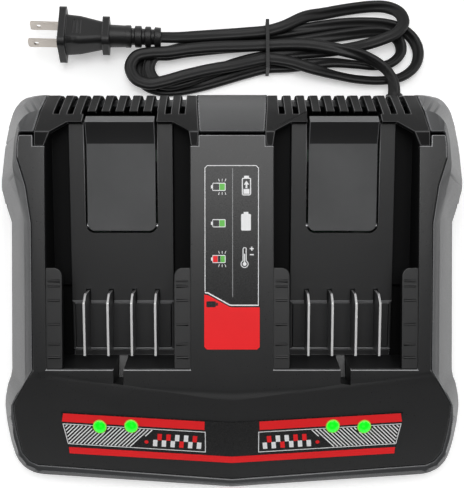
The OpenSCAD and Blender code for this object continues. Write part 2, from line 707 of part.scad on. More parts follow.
module rubber_feet() {
    color("#1c1c1c") for (p = foot_spots) translate([p[0], p[1], 0]) rotate_extrude() polygon([
        [0, 0], [foot_d / 2 - 1, 0], [foot_d / 2, 1], [foot_d / 2, foot_h + 1], [0, foot_h + 1]
    ]);
}

// Catch flap of one bay, with its pin and spring. The lip at the rear stands behind a seated pack.
lip_y = [lip_rear_y, lip_rear_y - 4, lip_rear_y - 13.4];
module catch_flap(x) {
    color(deck_black) difference() {
        union() {
            intersection() {
                translate([x, 0, 0]) on_floor(0, flap_front_y) translate([0, 0, -wall])
                    linear_extrude(30) round_front(flap_w, 70, 4);
                side_bar([
                    [flap_front_y - 1, bay_floor(flap_front_y - 1)], [lip_y[2], bay_floor(lip_y[2])],
                    [lip_y[1], bay_floor(lip_y[1]) + lip_h], [lip_y[0], bay_floor(lip_y[0]) + lip_h - 4.6],
                    [lip_y[0], bay_floor(lip_y[0]) - wall / cos(floor_tilt)],
                        [flap_front_y - 1, bay_floor(flap_front_y - 1) - 6]
                ], x - flap_half, x + flap_half);
            }
            for (s = [-1, 1]) hinge_lug(x, s);
        }
        translate([x - 30, flap_pin_y, flap_pin_z]) rotate([0, 90, 0])
            cylinder(h = 60, d = pin_d + 2 * pin_play);
    }
}
module hinge_lug(x, s) {
    side_bar([
        [flap_pin_y - 2.6, flap_pin_z - 0.5], [flap_pin_y - 1.2, flap_pin_z - 2.6],
            [flap_pin_y + 1.2, flap_pin_z - 2.6],
        [flap_pin_y + 2.6, flap_pin_z - 0.5], [flap_pin_y + 4, bay_floor(flap_pin_y + 4) - wall],
        [flap_pin_y - 2.6, bay_floor(flap_pin_y - 2.6) - wall]
    ], x + (s > 0 ? lug_x[0] : -lug_x[1]), x + (s > 0 ? lug_x[1] : -lug_x[0]));
}
module flap_pin(x) {
    color("silver") translate([x - hinge_x[1], flap_pin_y, flap_pin_z]) rotate([0, 90, 0])
        cylinder(h = 2 * hinge_x[1], d = pin_d);
}
// Torsion spring: close-wound turns round the pin and one leg along the underside of the flap.
spring_wire = 0.9;
spring_turns = 9;
module flap_spring(x) {
    r = pin_d / 2 + 0.5 + spring_wire / 2;
    l = spring_turns * spring_wire;
    color("silver") {
        for (k = [0:spring_turns - 1]) translate([x - l / 2 + (k + 0.5) * spring_wire,
            flap_pin_y, flap_pin_z])
            rotate([0, 90, 0]) rotate_extrude($fn = 24) translate([r, 0])
                circle(d = spring_wire * 1.02, $fn = 16);
        on_floor(x + l / 2 - spring_wire / 2, flap_pin_y) translate([0, 0, -wall - spring_wire / 2])
            rotate([-90, 0, 0])
            cylinder(h = 16, d = spring_wire, $fn = 16);
    }
}
module catch_flap_left() { catch_flap(-bay_mid); }
module catch_flap_right() { catch_flap(bay_mid); }
module flap_pin_left() { flap_pin(-bay_mid); }
module flap_pin_right() { flap_pin(bay_mid); }
module flap_spring_left() { flap_spring(-bay_mid); }
module flap_spring_right() { flap_spring(bay_mid); }

// Terminal block of one bay: a flange under the floor, a pad in the opening and four blades.
pad_drop = 0.6;
flange_t = 3;
board_t = 1.6;
floor_under = floor_t * cos(floor_tilt);
flange_under = floor_under + flange_t;
flange_half = floor_half - wall - 0.3;
module terminal_block(x) {
    color("#303134") difference() {
        union() {
            intersection() {
                on_floor(x, blade_rear_y) translate([-floor_half + 1.8, -40, -flange_under])
                    cube([floor_w - 3.6, 60, flange_under - pad_drop]);
                translate([x - 40, block_y[0] + 0.2, 0]) cube([80, block_y[1] - block_y[0] - 0.4, sky]);
            }
            on_floor(x, blade_rear_y) translate([-flange_half, -27, -flange_under])
                cube([2 * flange_half, 33.5, flange_t]);
        }
        translate([x, 0, 0]) blade_offsets() blade_solid();
        for (s = [-1, 1]) on_floor(x + s * blade_pitch, block_screw_y) translate([0, 0, -12])
            cylinder(h = 14, d = 2.4);
    }
}
tail_l = 2;
module blade_solid() {
    on_floor(0, blade_rear_y) translate([-blade_t / 2, 0, 0]) rotate([90, 0, 90]) linear_extrude(blade_t)
        polygon([
        [-blade_l, 0], [-blade_l, blade_h], [-4, blade_h], [0, blade_h - 5.5], [0, -1.5], [-8, -1.5],
        [-8, -flange_under], [-9, -flange_under], [-9, -flange_under - board_t - tail_l],
        [-12, -flange_under - board_t - tail_l], [-12, -flange_under],
        [-23, -flange_under], [-23, -1.5], [-blade_l, -1.5]
    ]);
}
module terminal_blades(x) {
    color("silver") translate([x, 0, 0]) blade_offsets() blade_solid();
}
module terminal_board(x) {
    color("darkgreen") difference() {
        on_floor(x, blade_rear_y) translate([-flange_half, -26, -flange_under - board_t])
            cube([2 * flange_half, 38, board_t]);
        translate([x, 0, 0]) blade_offsets() blade_solid();
        for (s = [-1, 1]) on_floor(x + s * blade_pitch, block_screw_y) translate([0, 0, -20])
            cylinder(h = 30, d = 2.4);
    }
}
module block_screws() {
    color("silver") for (x = [-bay_mid, bay_mid], s = [-1, 1]) on_floor(x + s * blade_pitch, block_screw_y)
        translate([0, 0, -flange_under - board_t]) rotate([180, 0, 0]) small_screw(6.6, 2, 4, 1.4);
}
module terminal_block_left() { terminal_block(-bay_mid); }
module terminal_block_right() { terminal_block(bay_mid); }
module terminal_blades_left() { terminal_blades(-bay_mid); }
module terminal_blades_right() { terminal_blades(bay_mid); }
module terminal_board_left() { terminal_board(-bay_mid); }
module terminal_board_right() { terminal_board(bay_mid); }

// Ribbon cable from each terminal board down to the main board, with a header at each end.
ribbon_y = 5;
ribbon_w = 30;
ribbon_t = 1.2;
main_z = board_z + board_t;
header_h = 6;
module ribbon(x) {
    color("lightgray") translate([x - ribbon_w / 2, ribbon_y, main_z + 1]) cube([ribbon_w, ribbon_t, 17]);
}
module ribbon_left() { ribbon(-bay_mid); }
module ribbon_right() { ribbon(bay_mid); }
module ribbon_headers() {
    color("ivory") for (x = [-bay_mid, bay_mid]) difference() {
        union() {
            translate([x - ribbon_w / 2 - 1.5, ribbon_y - 2, main_z])
                cube([ribbon_w + 3, ribbon_t + 4, header_h]);
            intersection() {
                translate([x - ribbon_w / 2 - 1.5, ribbon_y - 2, main_z + 14])
                    cube([ribbon_w + 3, ribbon_t + 4, 20]);
                on_floor(x, blade_rear_y) translate([-60, -60, -60 - flange_under - board_t])
                    cube([120, 120, 60]);
            }
        }
        ribbon(x);
    }
}

// Labels: thin plates let down onto the deck and the front face.
label_t = 0.4;
status_label_x = 14;
status_label_s = [-36.1, 56];
module status_label() {
    color("#101010") on_deck(0) translate([-status_label_x, status_label_s[0], 0]) linear_extrude(label_t)
        rounded_square(2 * status_label_x, status_label_s[1] - status_label_s[0], 1.5);
}
module rounded_square(w, l, r) {
    for (x = [r, w - r], y = [r, l - r]) translate([x, y]) circle(r);
    translate([r, 0]) square([w - 2 * r, l]);
    translate([0, r]) square([w, l - 2 * r]);
}
front_label_top = -12.8;
front_label_foot = -39.8;
front_label_half = 87.4;
module front_label() {
    color("#b3121c") difference() {
        for (s = [-1, 1]) intersection() {
            on_face(s) linear_extrude(label_t) polygon([
                [-s * 6, front_label_top], [s * front_label_half, front_label_top],
                [s * (front_label_half - 3.2), front_label_foot], [-s * 6, front_label_foot]
            ]);
            translate([s > 0 ? 0 : -120, -150, 0]) cube([120, 200, 100]);
        }
        for (s = [-1, 1]) at_leds(s) translate([0, 0, -2]) cylinder(h = 4, d = led_d + 0.4);
    }
}

// Lamps of the front face: domed lenses in the deck, lamps and boards behind them.
lens_reach = 2;
lamp_board_drop = 9;
module led_lenses() {
    color("lime") for (s = [-1, 1]) at_leds(s) rotate_extrude() polygon([
        [0, -wall - 1.5], [led_d / 2, -wall - 1.5], [led_d / 2, 0.4],
        for (a = [15:15:90]) [led_d / 2 * cos(a), 0.4 + (lens_reach - 0.4) * sin(a)]
    ]);
}
module led_lamps() {
    color("white") for (s = [-1, 1]) at_leds(s) translate([0, 0, -lamp_board_drop])
        cylinder(h = lamp_board_drop - wall - 1.5, d = 5);
}
module led_board(s) {
    color("darkgreen") difference() {
        on_face(s) translate([s > 0 ? 44 : -75, -26, -lamp_board_drop - board_t]) cube([31, 13, board_t]);
        for (t = [-1, 1]) on_face(s) translate([s * 59.5 + t * 13, -16, -lamp_board_drop - 3])
            cylinder(h = 6, d = 2.4);
    }
}
module led_board_left() { led_board(-1); }
module led_board_right() { led_board(1); }
module led_board_posts() {
    for (s = [-1, 1], t = [-1, 1]) on_face(s) translate([s * 59.5 + t * 13, -16, -lamp_board_drop])
        difference() {
            cylinder(h = lamp_board_drop - wall / 2, d = 4.6);
            translate([0, 0, -1]) cylinder(h = 6, d = 1.8);
        }
}
module led_board_screws() {
    color("silver") for (s = [-1, 1], t = [-1, 1])
        on_face(s) translate([s * 59.5 + t * 13, -16, -lamp_board_drop - board_t]) rotate([180, 0, 0])
            small_screw(5, 1.8, 3.4, 1.2);
}

// Main board and what stands on it
board = [156 * sx, 112 * sy];
board_front_y = -30 * sy;
module main_board() {
    color("darkgreen") difference() {
        translate([-board[0] / 2, board_front_y, board_z]) cube([board[0], board[1], board_t]);
        for (p = board_spots) translate([p[0], p[1], 0]) cylinder(h = 30, d = 2.8);
        translate([deck_posts[1][0], deck_posts[1][1], 0]) cylinder(h = 30, d = 9);
    }
}
module board_screws() {
    color("silver") for (p = board_spots) translate([p[0], p[1], main_z])
        small_screw(main_z - pilot_z, board_screw_d, 4.6, 1.6);
}
transformer_y = 32;
module transformer_core() {
    color("#3a3a3f") difference() {
        translate([-16, transformer_y - 14, main_z]) cube([32, 28, 30]);
        translate([-17, transformer_y - 9, main_z + 5]) cube([34, 18, 20]);
    }
    color("#3a3a3f") translate([-5, transformer_y - 9, main_z + 5]) cube([10, 18, 20]);
}
module transformer_winding() {
    color("goldenrod") for (s = [-1, 1]) translate([s > 0 ? 5 : -16, transformer_y - 9, main_z + 5])
        cube([11, 18, 20]);
}
module can(x, y, d, h) {
    translate([x, y, main_z]) rotate_extrude() polygon([
        [0, 0], [d / 2, 0], [d / 2, 1.6], [d / 2 - 0.5, 2.2], [d / 2,
            2.8], [d / 2, h - 0.6], [d / 2 - 0.6, h], [0, h]
    ]);
}
module bulk_capacitor() { color("#2b3f66") can(0, -2, 22, 36); }
module output_capacitors() { color("#3b3b3b") for (x = [-66, -54], y = [24, 38]) can(x, y, 10, 20); }
sink_x = 36;
module heat_sink(s) {
    color("silver") translate([s * sink_x, 52, main_z]) {
        translate([-12, 0, 0]) cube([24, 3, 26]);
        for (k = [0:4]) translate([-12 + k * 5.5, 3 - eps, 0]) cube([2, 12, 26]);
    }
}
module heat_sink_left() { heat_sink(-1); }
module heat_sink_right() { heat_sink(1); }
module power_transistors() {
    color("#202020") for (s = [-1, 1], k = [-1, 1])
        translate([s * sink_x + k * 6 - 5, 52 - 4.6, main_z + 3]) cube([10, 4.6, 16]);
    color("silver") for (s = [-1, 1], k = [-1, 1], j = [-1:1])
        translate([s * sink_x + k * 6 + j * 2.5 - 0.4, 52 - 2.6, main_z]) cube([0.8, 0.5, 3 + eps]);
}
module bridge_rectifier() {
    color("#202020") translate([30, 24, main_z + 3]) cube([20, 4, 15]);
    color("silver") for (k = [0:3]) translate([32 + k * 5, 25.7, main_z]) cube([0.9, 0.6, 3 + eps]);
}
module noise_choke() {
    color("goldenrod") translate([fuse_x, 19.4, main_z]) difference() {
        cylinder(h = 9, d = 20);
        translate([0, 0, -1]) cylinder(h = 12, d = 9);
    }
}
module film_capacitor() { color("gold") translate([38, 10, main_z]) cube([16, 8, 13]); }
fuse_x = 66;
fuse_y = [36, 56];
module mains_fuse() {
    color("white") translate([fuse_x, fuse_y[0], main_z + 5]) rotate([-90, 0, 0])
        cylinder(h = fuse_y[1] - fuse_y[0], d = 5.2);
}
module fuse_clips() {
    color("silver") for (y = [fuse_y[0] + 1, fuse_y[1] - 6]) difference() {
        translate([fuse_x - 3.6, y, main_z]) cube([7.2, 5, 6.5]);
        translate([fuse_x, y - 1, main_z + 5]) rotate([-90, 0, 0]) cylinder(h = 7, d = 5.2);
    }
}
terminal_pos = [62, clamp_y - 15];
module mains_terminal() {
    color("#2e7d4f") translate([terminal_pos[0], terminal_pos[1], main_z]) difference() {
        cube([12, 10, 12]);
        for (y = [2.6, 7.4]) {
            translate([6, y, cord_z - main_z]) rotate([0, 90, 0]) cylinder(h = 10, d = wire_d);
            translate([6, y, 4]) cylinder(h = 20, d = 2.6);
        }
    }
}
wire_d = 2.6;
wire_end_y = clamp_y - 4;
stub_end_y = relief_y[1] - 10;
module mains_wires() {
    color("black") translate([exit_x - cord_w / 2, wire_end_y, cord_z - cord_t / 2])
        cube([cord_w, stub_end_y - wire_end_y, cord_t]);
    for (k = [[-1.7, 7.4], [1.7, 2.6]]) color("black") core_wire(exit_x + k[0], terminal_pos[1] + k[1]);
}
// One core from the cord's end, round a quarter bend and into the terminal.
module core_wire(x, y) {
    translate([x, y + wire_bend, cord_z]) rotate([-90, 0, 0]) cylinder(h = wire_end_y - y - wire_bend + 1,
        d = wire_d);
    translate([x - wire_bend, y + wire_bend, cord_z]) rotate([0, 0, -90]) rotate_extrude(angle = 90)
        translate([wire_bend, 0]) circle(d = wire_d);
    translate([terminal_pos[0] + 6, y, cord_z]) rotate([0, 90, 0])
        cylinder(h = x - wire_bend - terminal_pos[0] - 6, d = wire_d);
}
wire_bend = 3;
// Mains cord: a flat twin cord in two free stretches, with the tied hank between them.
flange = [28, 22, 4];
flange_r = 4;
flange_reach = (flange[0] / 2 - flange_r) * sin(plug_roll)
    + (flange[1] / 2 - flange_r) * cos(plug_roll) + flange_r;
plug_x = -101;
plug_y = 154;
plug_z = flange_reach * cos(plug_tilt) + flange[2] * sin(plug_tilt);
relief_l = 59;
// A point on the plug's axis at a distance behind its front face.
function plug_point(l) = [plug_x + l * cos(plug_tilt), plug_y, plug_z - l * sin(plug_tilt)];
lead_route = [
    [exit_x, relief_y[1], cord_z], [exit_x, relief_y[1] + 0.6, cord_z], [exit_x + 0.3, 119.5, 12.3],
    [93.4, 125, 11.2], [90.4, 130.3, 10.4]
];
tail_route = [plug_point(relief_l), plug_point(relief_l + 1), [-32, 154,
    8.2], [-22, 154.3, 7.4], [-8, 154.9, 6.8]];
cord_sides = 8;
function side_of(t) = let (s = cross(t, [0, 0, 1])) s / norm(s);
function route_dir(r, i) = let (v = r[min(i + 1, len(r) - 1)] - r[max(i - 1, 0)]) v / norm(v);
function route_ring(r, i, roll) = let (t = route_dir(r, i), s = side_of(t), u = cross(s, t),
    a = s * cos(roll) + u * sin(roll), b = u * cos(roll) - s * sin(roll))
    [for (k = [0:cord_sides - 1]) let (q = 360 * (k + 0.5) / cord_sides)
        r[i] + (a * cord_w * cos(q) + b * cord_t * sin(q)) / 2 / cos(180 / cord_sides)];
module cord_tube(route, rolls) {
    n = cord_sides;
    m = len(route);
    rings = [for (i = [0:m - 1]) route_ring(route, i, rolls[0] + (rolls[1] - rolls[0]) * i / (m - 1))];
    color("#161616") polyhedron([for (l = rings, p = l) p],
        concat([[for (k = [0:n - 1]) k]],
            [for (i = [0:m - 2], f = band(i + 1, i, n)) f],
            [[for (k = [n - 1:-1:0]) (m - 1) * n + k]]), 4);
}
module cord_lead() { cord_tube(lead_route, [0, 0]); }
module cord_tail() { cord_tube(tail_route, [plug_roll, 0]); }
tie_x = 21;
tie_w = 2;
tie_t = 0.8;
hank_waist = [[tie_x, 139.5], [tie_x, 153.5]];
waist_d = 15;
module hank_outline() {
    hull() {
        translate([-50.4, 132.6]) circle(d = 27.2, $fn = 32);
        for (p = hank_waist) translate(p) circle(d = waist_d, $fn = 32);
    }
    hull() {
        for (p = hank_waist) translate(p) circle(d = waist_d, $fn = 32);
        translate([93, 144.5]) circle(d = 43, $fn = 32);
        translate([85.5, 159.5]) circle(d = 34.8, $fn = 32);
    }
}
module cord_hank() {
    color("#161616") translate([0, 0, tie_t]) linear_extrude(hank_h) hank_outline();
}
module cord_tie() {
    waist_y = [hank_waist[0][1] - waist_d / 2, hank_waist[1][1] + waist_d / 2];
    color("#161616") difference() {
        translate([tie_x - tie_w / 2, waist_y[0] - tie_t, 0])
            cube([tie_w, waist_y[1] - waist_y[0] + 2 * tie_t, hank_h + 2 * tie_t]);
        cord_hank();
    }
}

// Plug with two flat blades, lying rolled over on its side.
module in_plug() {
    translate([plug_x, plug_y, plug_z]) rotate([0, plug_tilt, 0]) rotate([plug_roll, 0, 0]) children();
}
module plug_section(w, h, r, x) {
    translate([x, 0, 0]) rotate([90, 0, 90]) linear_extrude(0.1) translate([-w / 2, -h / 2])
        rounded_square(w, h, r, $fn = 32);
}
plug_blade = [18, 6.35, 1.5];
plug_blade_pitch = 12.7;
module plug_blade_places() {
    for (s = [-1, 1]) translate([0, s * plug_blade_pitch / 2, 0]) children();
}
module plug_blades() {
    color("silver") in_plug() plug_blade_places() difference() {
        union() {
            translate([-plug_blade[0] + 1.5, -plug_blade[2] / 2, -plug_blade[1] / 2])
                cube([plug_blade[0] + 6.5, plug_blade[2], plug_blade[1]]);
            translate([-plug_blade[0], -plug_blade[2] / 2, -plug_blade[1] / 2 + 1.5])
                cube([4, plug_blade[2], plug_blade[1] - 3]);
            for (s = [-1, 1]) translate([-plug_blade[0] + 1.5, 0, s * (plug_blade[1] / 2 - 1.5)])
                rotate([90, 0, 0])
                cylinder(h = plug_blade[2], r = 1.5, center = true);
        }
        translate([-plug_blade[0] + 5, 0, 0]) rotate([90, 0, 0]) cylinder(h = 8, d = 3.1, center = true);
    }
}
plug_l = 25;
collar_l = 4;
module plug_body() {
    color("#161616") in_plug() difference() {
        union() {
            rotate([90, 0, 90]) linear_extrude(flange[2]) translate([-flange[0] / 2, -flange[1] / 2])
                rounded_square(flange[0], flange[1], flange_r);
            hull() {
                plug_section(21, 17, 4, 2);
                plug_section(20, 15.5, 4, 12);
                plug_section(15, 12.5, 4, plug_l);
            }
            translate([plug_l, 0, 0]) rotate([90, 0, 90]) linear_extrude(collar_l) translate([-10, -8])
                rounded_square(20, 16, 4);
        }
        plug_blade_places() translate([-1, -plug_blade[2] / 2, -plug_blade[1] / 2])
            cube([9, plug_blade[2], plug_blade[1]]);
        translate([plug_l - 6, 0, 0]) rotate([0, 90, 0]) cylinder(h = 20, d = 9);
        for (s = [-1, 1], k = [0:4]) translate([8 + k * 2.2, -5, s * 8.4 - 0.8]) cube([1.2, 10, 1.6]);
    }
}
module plug_strain_relief() {
    l = relief_l;
    color("#161616") in_plug() rotate([0, 90, 0]) rotate_extrude() polygon([
        [0, plug_l - 6], [4.5, plug_l - 6], [4.5, plug_l + collar_l], [6.6, plug_l + collar_l],
        [6.3, plug_l + 13], [6.5, plug_l + 14], [6.5, plug_l + 16.5],
            [4.9, plug_l + 17], [4.9, plug_l + 18.5],
        [6.3, plug_l + 19], [6.3, plug_l + 22.5], [4.7, plug_l + 23],
            [4.7, plug_l + 24.5], [6, plug_l + 25],
        [6, plug_l + 28], [4.5, plug_l + 28.5], [4.5, plug_l + 30], [5.8, plug_l + 30.5], [5.6, l], [0, l]
    ]);
}

bottom_case();
surround();
deck();
bay_tray_left();
bay_tray_right();
grille_left();
grille_right();
catch_flap_left();
catch_flap_right();
flap_pin_left();
flap_pin_right();
flap_spring_left();
flap_spring_right();
terminal_block_left();
terminal_block_right();
terminal_blades_left();
terminal_blades_right();
terminal_board_left();
terminal_board_right();
block_screws();
ribbon_left();
ribbon_right();
ribbon_headers();
status_label();
front_label();
led_lenses();
led_board_left();
led_board_right();
led_lamps();
led_board_screws();
main_board();
transformer_core();
transformer_winding();
bulk_capacitor();
output_capacitors();
heat_sink_left();
heat_sink_right();
power_transistors();
bridge_rectifier();
noise_choke();
film_capacitor();
mains_fuse();
fuse_clips();
mains_terminal();
mains_wires();
board_screws();
housing_screws();
rubber_feet();
cord_strain_relief();
cord_clamp();
clamp_screws();
cord_lead();
cord_hank();
cord_tie();
cord_tail();
plug_strain_relief();
plug_body();
plug_blades();
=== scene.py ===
import math

import bpy
import bmesh
import numpy as np
from mathutils import Matrix, Vector


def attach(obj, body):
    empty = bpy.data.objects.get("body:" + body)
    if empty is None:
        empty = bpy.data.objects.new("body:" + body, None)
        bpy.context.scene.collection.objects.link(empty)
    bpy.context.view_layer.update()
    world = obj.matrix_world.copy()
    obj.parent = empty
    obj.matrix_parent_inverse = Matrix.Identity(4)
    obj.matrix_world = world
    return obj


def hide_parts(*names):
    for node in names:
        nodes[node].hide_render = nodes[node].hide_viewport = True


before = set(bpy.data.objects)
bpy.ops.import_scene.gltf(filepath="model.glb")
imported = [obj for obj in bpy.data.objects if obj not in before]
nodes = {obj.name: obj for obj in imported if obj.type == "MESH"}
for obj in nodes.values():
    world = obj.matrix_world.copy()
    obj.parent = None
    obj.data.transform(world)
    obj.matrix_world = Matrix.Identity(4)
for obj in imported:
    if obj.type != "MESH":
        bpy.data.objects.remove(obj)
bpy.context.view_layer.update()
MM = 0.001

# ---------------------------------------------------------------- camera
CAMERA_AT = (0.0, -0.06402, 0.47725)
CAMERA_AIM = (0.0, 0.0165, 0.063)
LENS_MM = 62.26
SENSOR_MM = 36.0

scene = bpy.context.scene
scene.view_settings.view_transform = "Standard"
cam_data = bpy.data.cameras.new("camera")
cam_data.sensor_fit = "AUTO"
cam_data.sensor_width = SENSOR_MM
cam_data.lens = LENS_MM
camera = bpy.data.objects.new("camera", cam_data)
scene.collection.objects.link(camera)
camera.location = CAMERA_AT
aim = Vector(CAMERA_AIM) - camera.location
camera.rotation_euler = aim.to_track_quat("-Z", "Y").to_euler()
scene.camera = camera


# ---------------------------------------------------------------- materials
CLOUD_SCALE = 38.0  # colour clouds about 26 mm across
BUMP_DEPTH = 0.0004
BRUSH_SQUEEZE = 0.04  # brushed grain is stretched along y
PALER, LIFT, HIGHLIGHT_GLOSS = 1.7, 0.012, 0.12  # make a rounded edge paler and glossier: a painted highlight


def material(name, base, rough=0.45, metallic=0.0, grain=900.0, bump=0.08, vary=0.12, spec=0.5,
             kind="grain", emit=None, rough_vary=0.08):
    """Moulded or metal surface: noise gives its mottling, its roughness and a fine bump."""
    m = bpy.data.materials.new(name)
    m.use_nodes = True
    nt = m.node_tree
    p = nt.nodes["Principled BSDF"]
    p.inputs["Metallic"].default_value = metallic
    p.inputs["Specular IOR Level"].default_value = spec
    tc = nt.nodes.new("ShaderNodeTexCoord")
    cloud = nt.nodes.new("ShaderNodeTexNoise")
    cloud.inputs["Scale"].default_value = CLOUD_SCALE
    cloud.inputs["Detail"].default_value = 4.0
    nt.links.new(tc.outputs["Object"], cloud.inputs["Vector"])
    ramp = nt.nodes.new("ShaderNodeValToRGB")
    lo = [c * (1 - vary) for c in base]
    hi = [min(1.0, c * (1 + vary)) for c in base]
    ramp.color_ramp.elements[0].position = 0.3
    ramp.color_ramp.elements[1].position = 0.7
    ramp.color_ramp.elements[0].color = (*lo, 1)
    ramp.color_ramp.elements[1].color = (*hi, 1)
    nt.links.new(cloud.outputs["Fac"], ramp.inputs["Fac"])
    nt.links.new(ramp.outputs["Color"], p.inputs["Base Color"])
    span = nt.nodes.new("ShaderNodeMapRange")
    span.inputs["To Min"].default_value = max(0.03, rough - rough_vary)
    span.inputs["To Max"].default_value = min(1.0, rough + rough_vary)
    if kind == "brushed":
        stretch = nt.nodes.new("ShaderNodeMapping")
        stretch.inputs["Scale"].default_value = (1.0, BRUSH_SQUEEZE, 1.0)
        nt.links.new(tc.outputs["Object"], stretch.inputs["Vector"])
        fine_in = stretch.outputs["Vector"]
    else:
        fine_in = tc.outputs["Object"]
    fine = nt.nodes.new("ShaderNodeTexNoise")
    fine.inputs["Scale"].default_value = grain
    fine.inputs["Detail"].default_value = 2.0
    nt.links.new(fine_in, fine.inputs["Vector"])
    nt.links.new(fine.outputs["Fac"], span.inputs["Value"])
    nt.links.new(span.outputs["Result"], p.inputs["Roughness"])
    b = nt.nodes.new("ShaderNodeBump")
    b.inputs["Strength"].default_value = bump
    b.inputs["Distance"].default_value = BUMP_DEPTH
    nt.links.new(fine.outputs["Fac"], b.inputs["Height"])
    nt.links.new(b.outputs["Normal"], p.inputs["Normal"])
    if emit:
        p.inputs["Emission Color"].default_value = (*emit[0], 1)
        p.inputs["Emission Strength"].default_value = emit[1]
    return m


def highlight_copy(name, base, rough, **kw):
    """The same plastic, paler and glossier: a painted highlight on a rounded edge."""
    paler = [min(1.0, c * PALER + LIFT) for c in base]
    return material(name, paler, max(0.2, rough - HIGHLIGHT_GLOSS), **kw)


DECK = (0.0095, 0.0097, 0.0102)
TRAY = (0.009, 0.0092, 0.0098)
CASE = (0.034, 0.035, 0.037)
# The *_edge materials are paler copies that paint a highlight on rounded edges, and the *_dark ones
# are darker copies that paint shade.
M = {
    "deck": material("deck_satin", DECK, 0.29, grain=1500, bump=0.06, spec=0.55, rough_vary=0.04),
    "deck_edge": highlight_copy("deck_edge", (0.15, 0.151, 0.155), 0.40, grain=1500, bump=0.05),
    "tray": material("tray_satin", TRAY, 0.40, grain=1500, bump=0.10, spec=0.6),
    "tray_edge": highlight_copy("tray_edge", (0.16, 0.161, 0.165), 0.42, grain=1500, bump=0.05),
    "tray_dark": material("tray_dark", (0.0024, 0.0025, 0.0028), 0.6, grain=1200,
                          bump=0.10, spec=0.14),
    "surround": material("surround_satin", CASE, 0.36, grain=1300, bump=0.10, spec=0.5),
    "surround_edge": highlight_copy("surround_edge", (0.045, 0.046, 0.048), 0.38, grain=1300, bump=0.05),
    "case": material("case_matt", (0.010, 0.0102, 0.011), 0.55, grain=1100, bump=0.16),
    "case_edge": highlight_copy("case_edge", (0.012, 0.0122, 0.013), 0.55, grain=1100, bump=0.08),
    "grille": material("grille_satin", (0.003, 0.0031, 0.0034), 0.45, grain=1600,
                       bump=0.06, spec=0.12),
    "grille_edge": highlight_copy("grille_edge", (0.02, 0.02, 0.021), 0.42, grain=1600, bump=0.03),
    "grille_dark": material("grille_dark", (0.0025, 0.0026, 0.003), 0.7, grain=1200,
                            bump=0.06, spec=0.15),
    "flap": material("flap_satin", (0.080, 0.081, 0.083), 0.34, grain=1500, bump=0.08, spec=0.6),
    "flap_edge": highlight_copy("flap_edge", (0.07, 0.071, 0.074), 0.36, grain=1500, bump=0.05),
    "flap_dark": material("flap_dark", (0.006, 0.0062, 0.0068), 0.5, grain=1200,
                          bump=0.08, spec=0.3),
    "block": material("block_matt", (0.014, 0.0142, 0.015), 0.5, grain=1200, bump=0.14),
    "block_edge": highlight_copy("block_edge", (0.016, 0.0162, 0.017), 0.5, grain=1200, bump=0.06),
    "blade": material("blade_plated", (0.95, 0.95, 0.95), 0.24, metallic=0.45, grain=900, bump=0.03,
                      vary=0.03, kind="brushed"),
    "brass": material("blade_nickel", (0.62, 0.57, 0.52), 0.33, metallic=0.6, grain=900, bump=0.03,
                      vary=0.04, kind="brushed"),
    "film": material("film_gloss", (0.0065, 0.0066, 0.007), 0.27, grain=700,
                     bump=0.012, spec=0.5, rough_vary=0.03),
    "ink_white": material("ink_white", (0.93, 0.93, 0.94), 0.4, grain=2000, bump=0.03, vary=0.02),
    "ink_grey": material("ink_grey", (0.34, 0.34, 0.35), 0.4, grain=2000, bump=0.03, vary=0.03),
    "ink_red": material("ink_red", (0.93, 0.014, 0.018), 0.36, grain=2000,
                        bump=0.03, vary=0.03, spec=0.3),
    "ink_green": material("ink_green", (0.13, 0.56, 0.07), 0.36, grain=2000, bump=0.03, vary=0.03),
    "rim": material("lens_rim", (0.42, 0.85, 0.10), 0.3, grain=1500, bump=0.03, vary=0.05),
    "lit": material("lens_lit", (0.0, 0.55, 0.01), 0.25, grain=1200, bump=0.02, vary=0.05,
                    emit=((0.0, 1.0, 0.004), 0.75)),
    "cord": material("cord_vinyl", (0.0085, 0.0085, 0.0088), 0.42, grain=1400,
                     bump=0.08, spec=0.32),
    "tie": material("tie_wire", (0.006, 0.006, 0.0065), 0.5, grain=1400, bump=0.10),
    "plug": material("plug_vinyl", (0.008, 0.008, 0.0084), 0.44, grain=1300, bump=0.14),
    "plug_edge": highlight_copy("plug_edge", (0.018, 0.018, 0.0185), 0.42, grain=1300, bump=0.06),
    "steel": material("spring_steel", (0.55, 0.55, 0.57), 0.32, metallic=1.0, grain=700, bump=0.04,
                      kind="brushed", vary=0.05),
    "screw": material("screw_zinc", (0.5, 0.5, 0.52), 0.36, metallic=1.0, grain=800,
                      bump=0.05, vary=0.06),
    "board": material("board_green", (0.008, 0.055, 0.025), 0.35, grain=260, bump=0.12, vary=0.25),
    "ribbon": material("ribbon_grey", (0.45, 0.45, 0.46), 0.5, grain=700,
                       bump=0.08, kind="brushed"),
    "header": material("header_ivory", (0.72, 0.69, 0.60), 0.45, grain=900, bump=0.08),
    "lamp": material("lamp_resin", (0.70, 0.78, 0.70), 0.2, grain=900, bump=0.03),
    "core": material("core_ferrite", (0.05, 0.05, 0.055), 0.6, grain=500, bump=0.25, vary=0.2),
    "winding": material("winding_tape", (0.62, 0.42, 0.08), 0.35, grain=500,
                        bump=0.1, kind="brushed"),
    "sleeve": material("sleeve_blue", (0.03, 0.05, 0.13), 0.3, grain=700, bump=0.05),
    "sink": material("black_anodised", (0.012, 0.012, 0.013), 0.5, grain=900, bump=0.05, spec=0.3),
    "chip": material("chip_epoxy", (0.02, 0.02, 0.021), 0.5, grain=800, bump=0.12),
    "choke": material("choke_copper", (0.5, 0.2, 0.06), 0.35, metallic=0.6, grain=400,
                      bump=0.2, kind="brushed"),
    "film_cap": material("film_yellow", (0.6, 0.45, 0.05), 0.4, grain=800, bump=0.08),
    "fuse": material("fuse_ceramic", (0.8, 0.79, 0.75), 0.4, grain=600, bump=0.06),
    "terminal": material("terminal_green", (0.05, 0.25, 0.12), 0.45, grain=900, bump=0.08),
    "wire": material("wire_black", (0.02, 0.02, 0.02), 0.45, grain=900, bump=0.08),
    "foot": material("foot_rubber", (0.03, 0.03, 0.03), 0.7, grain=700, bump=0.25),
}


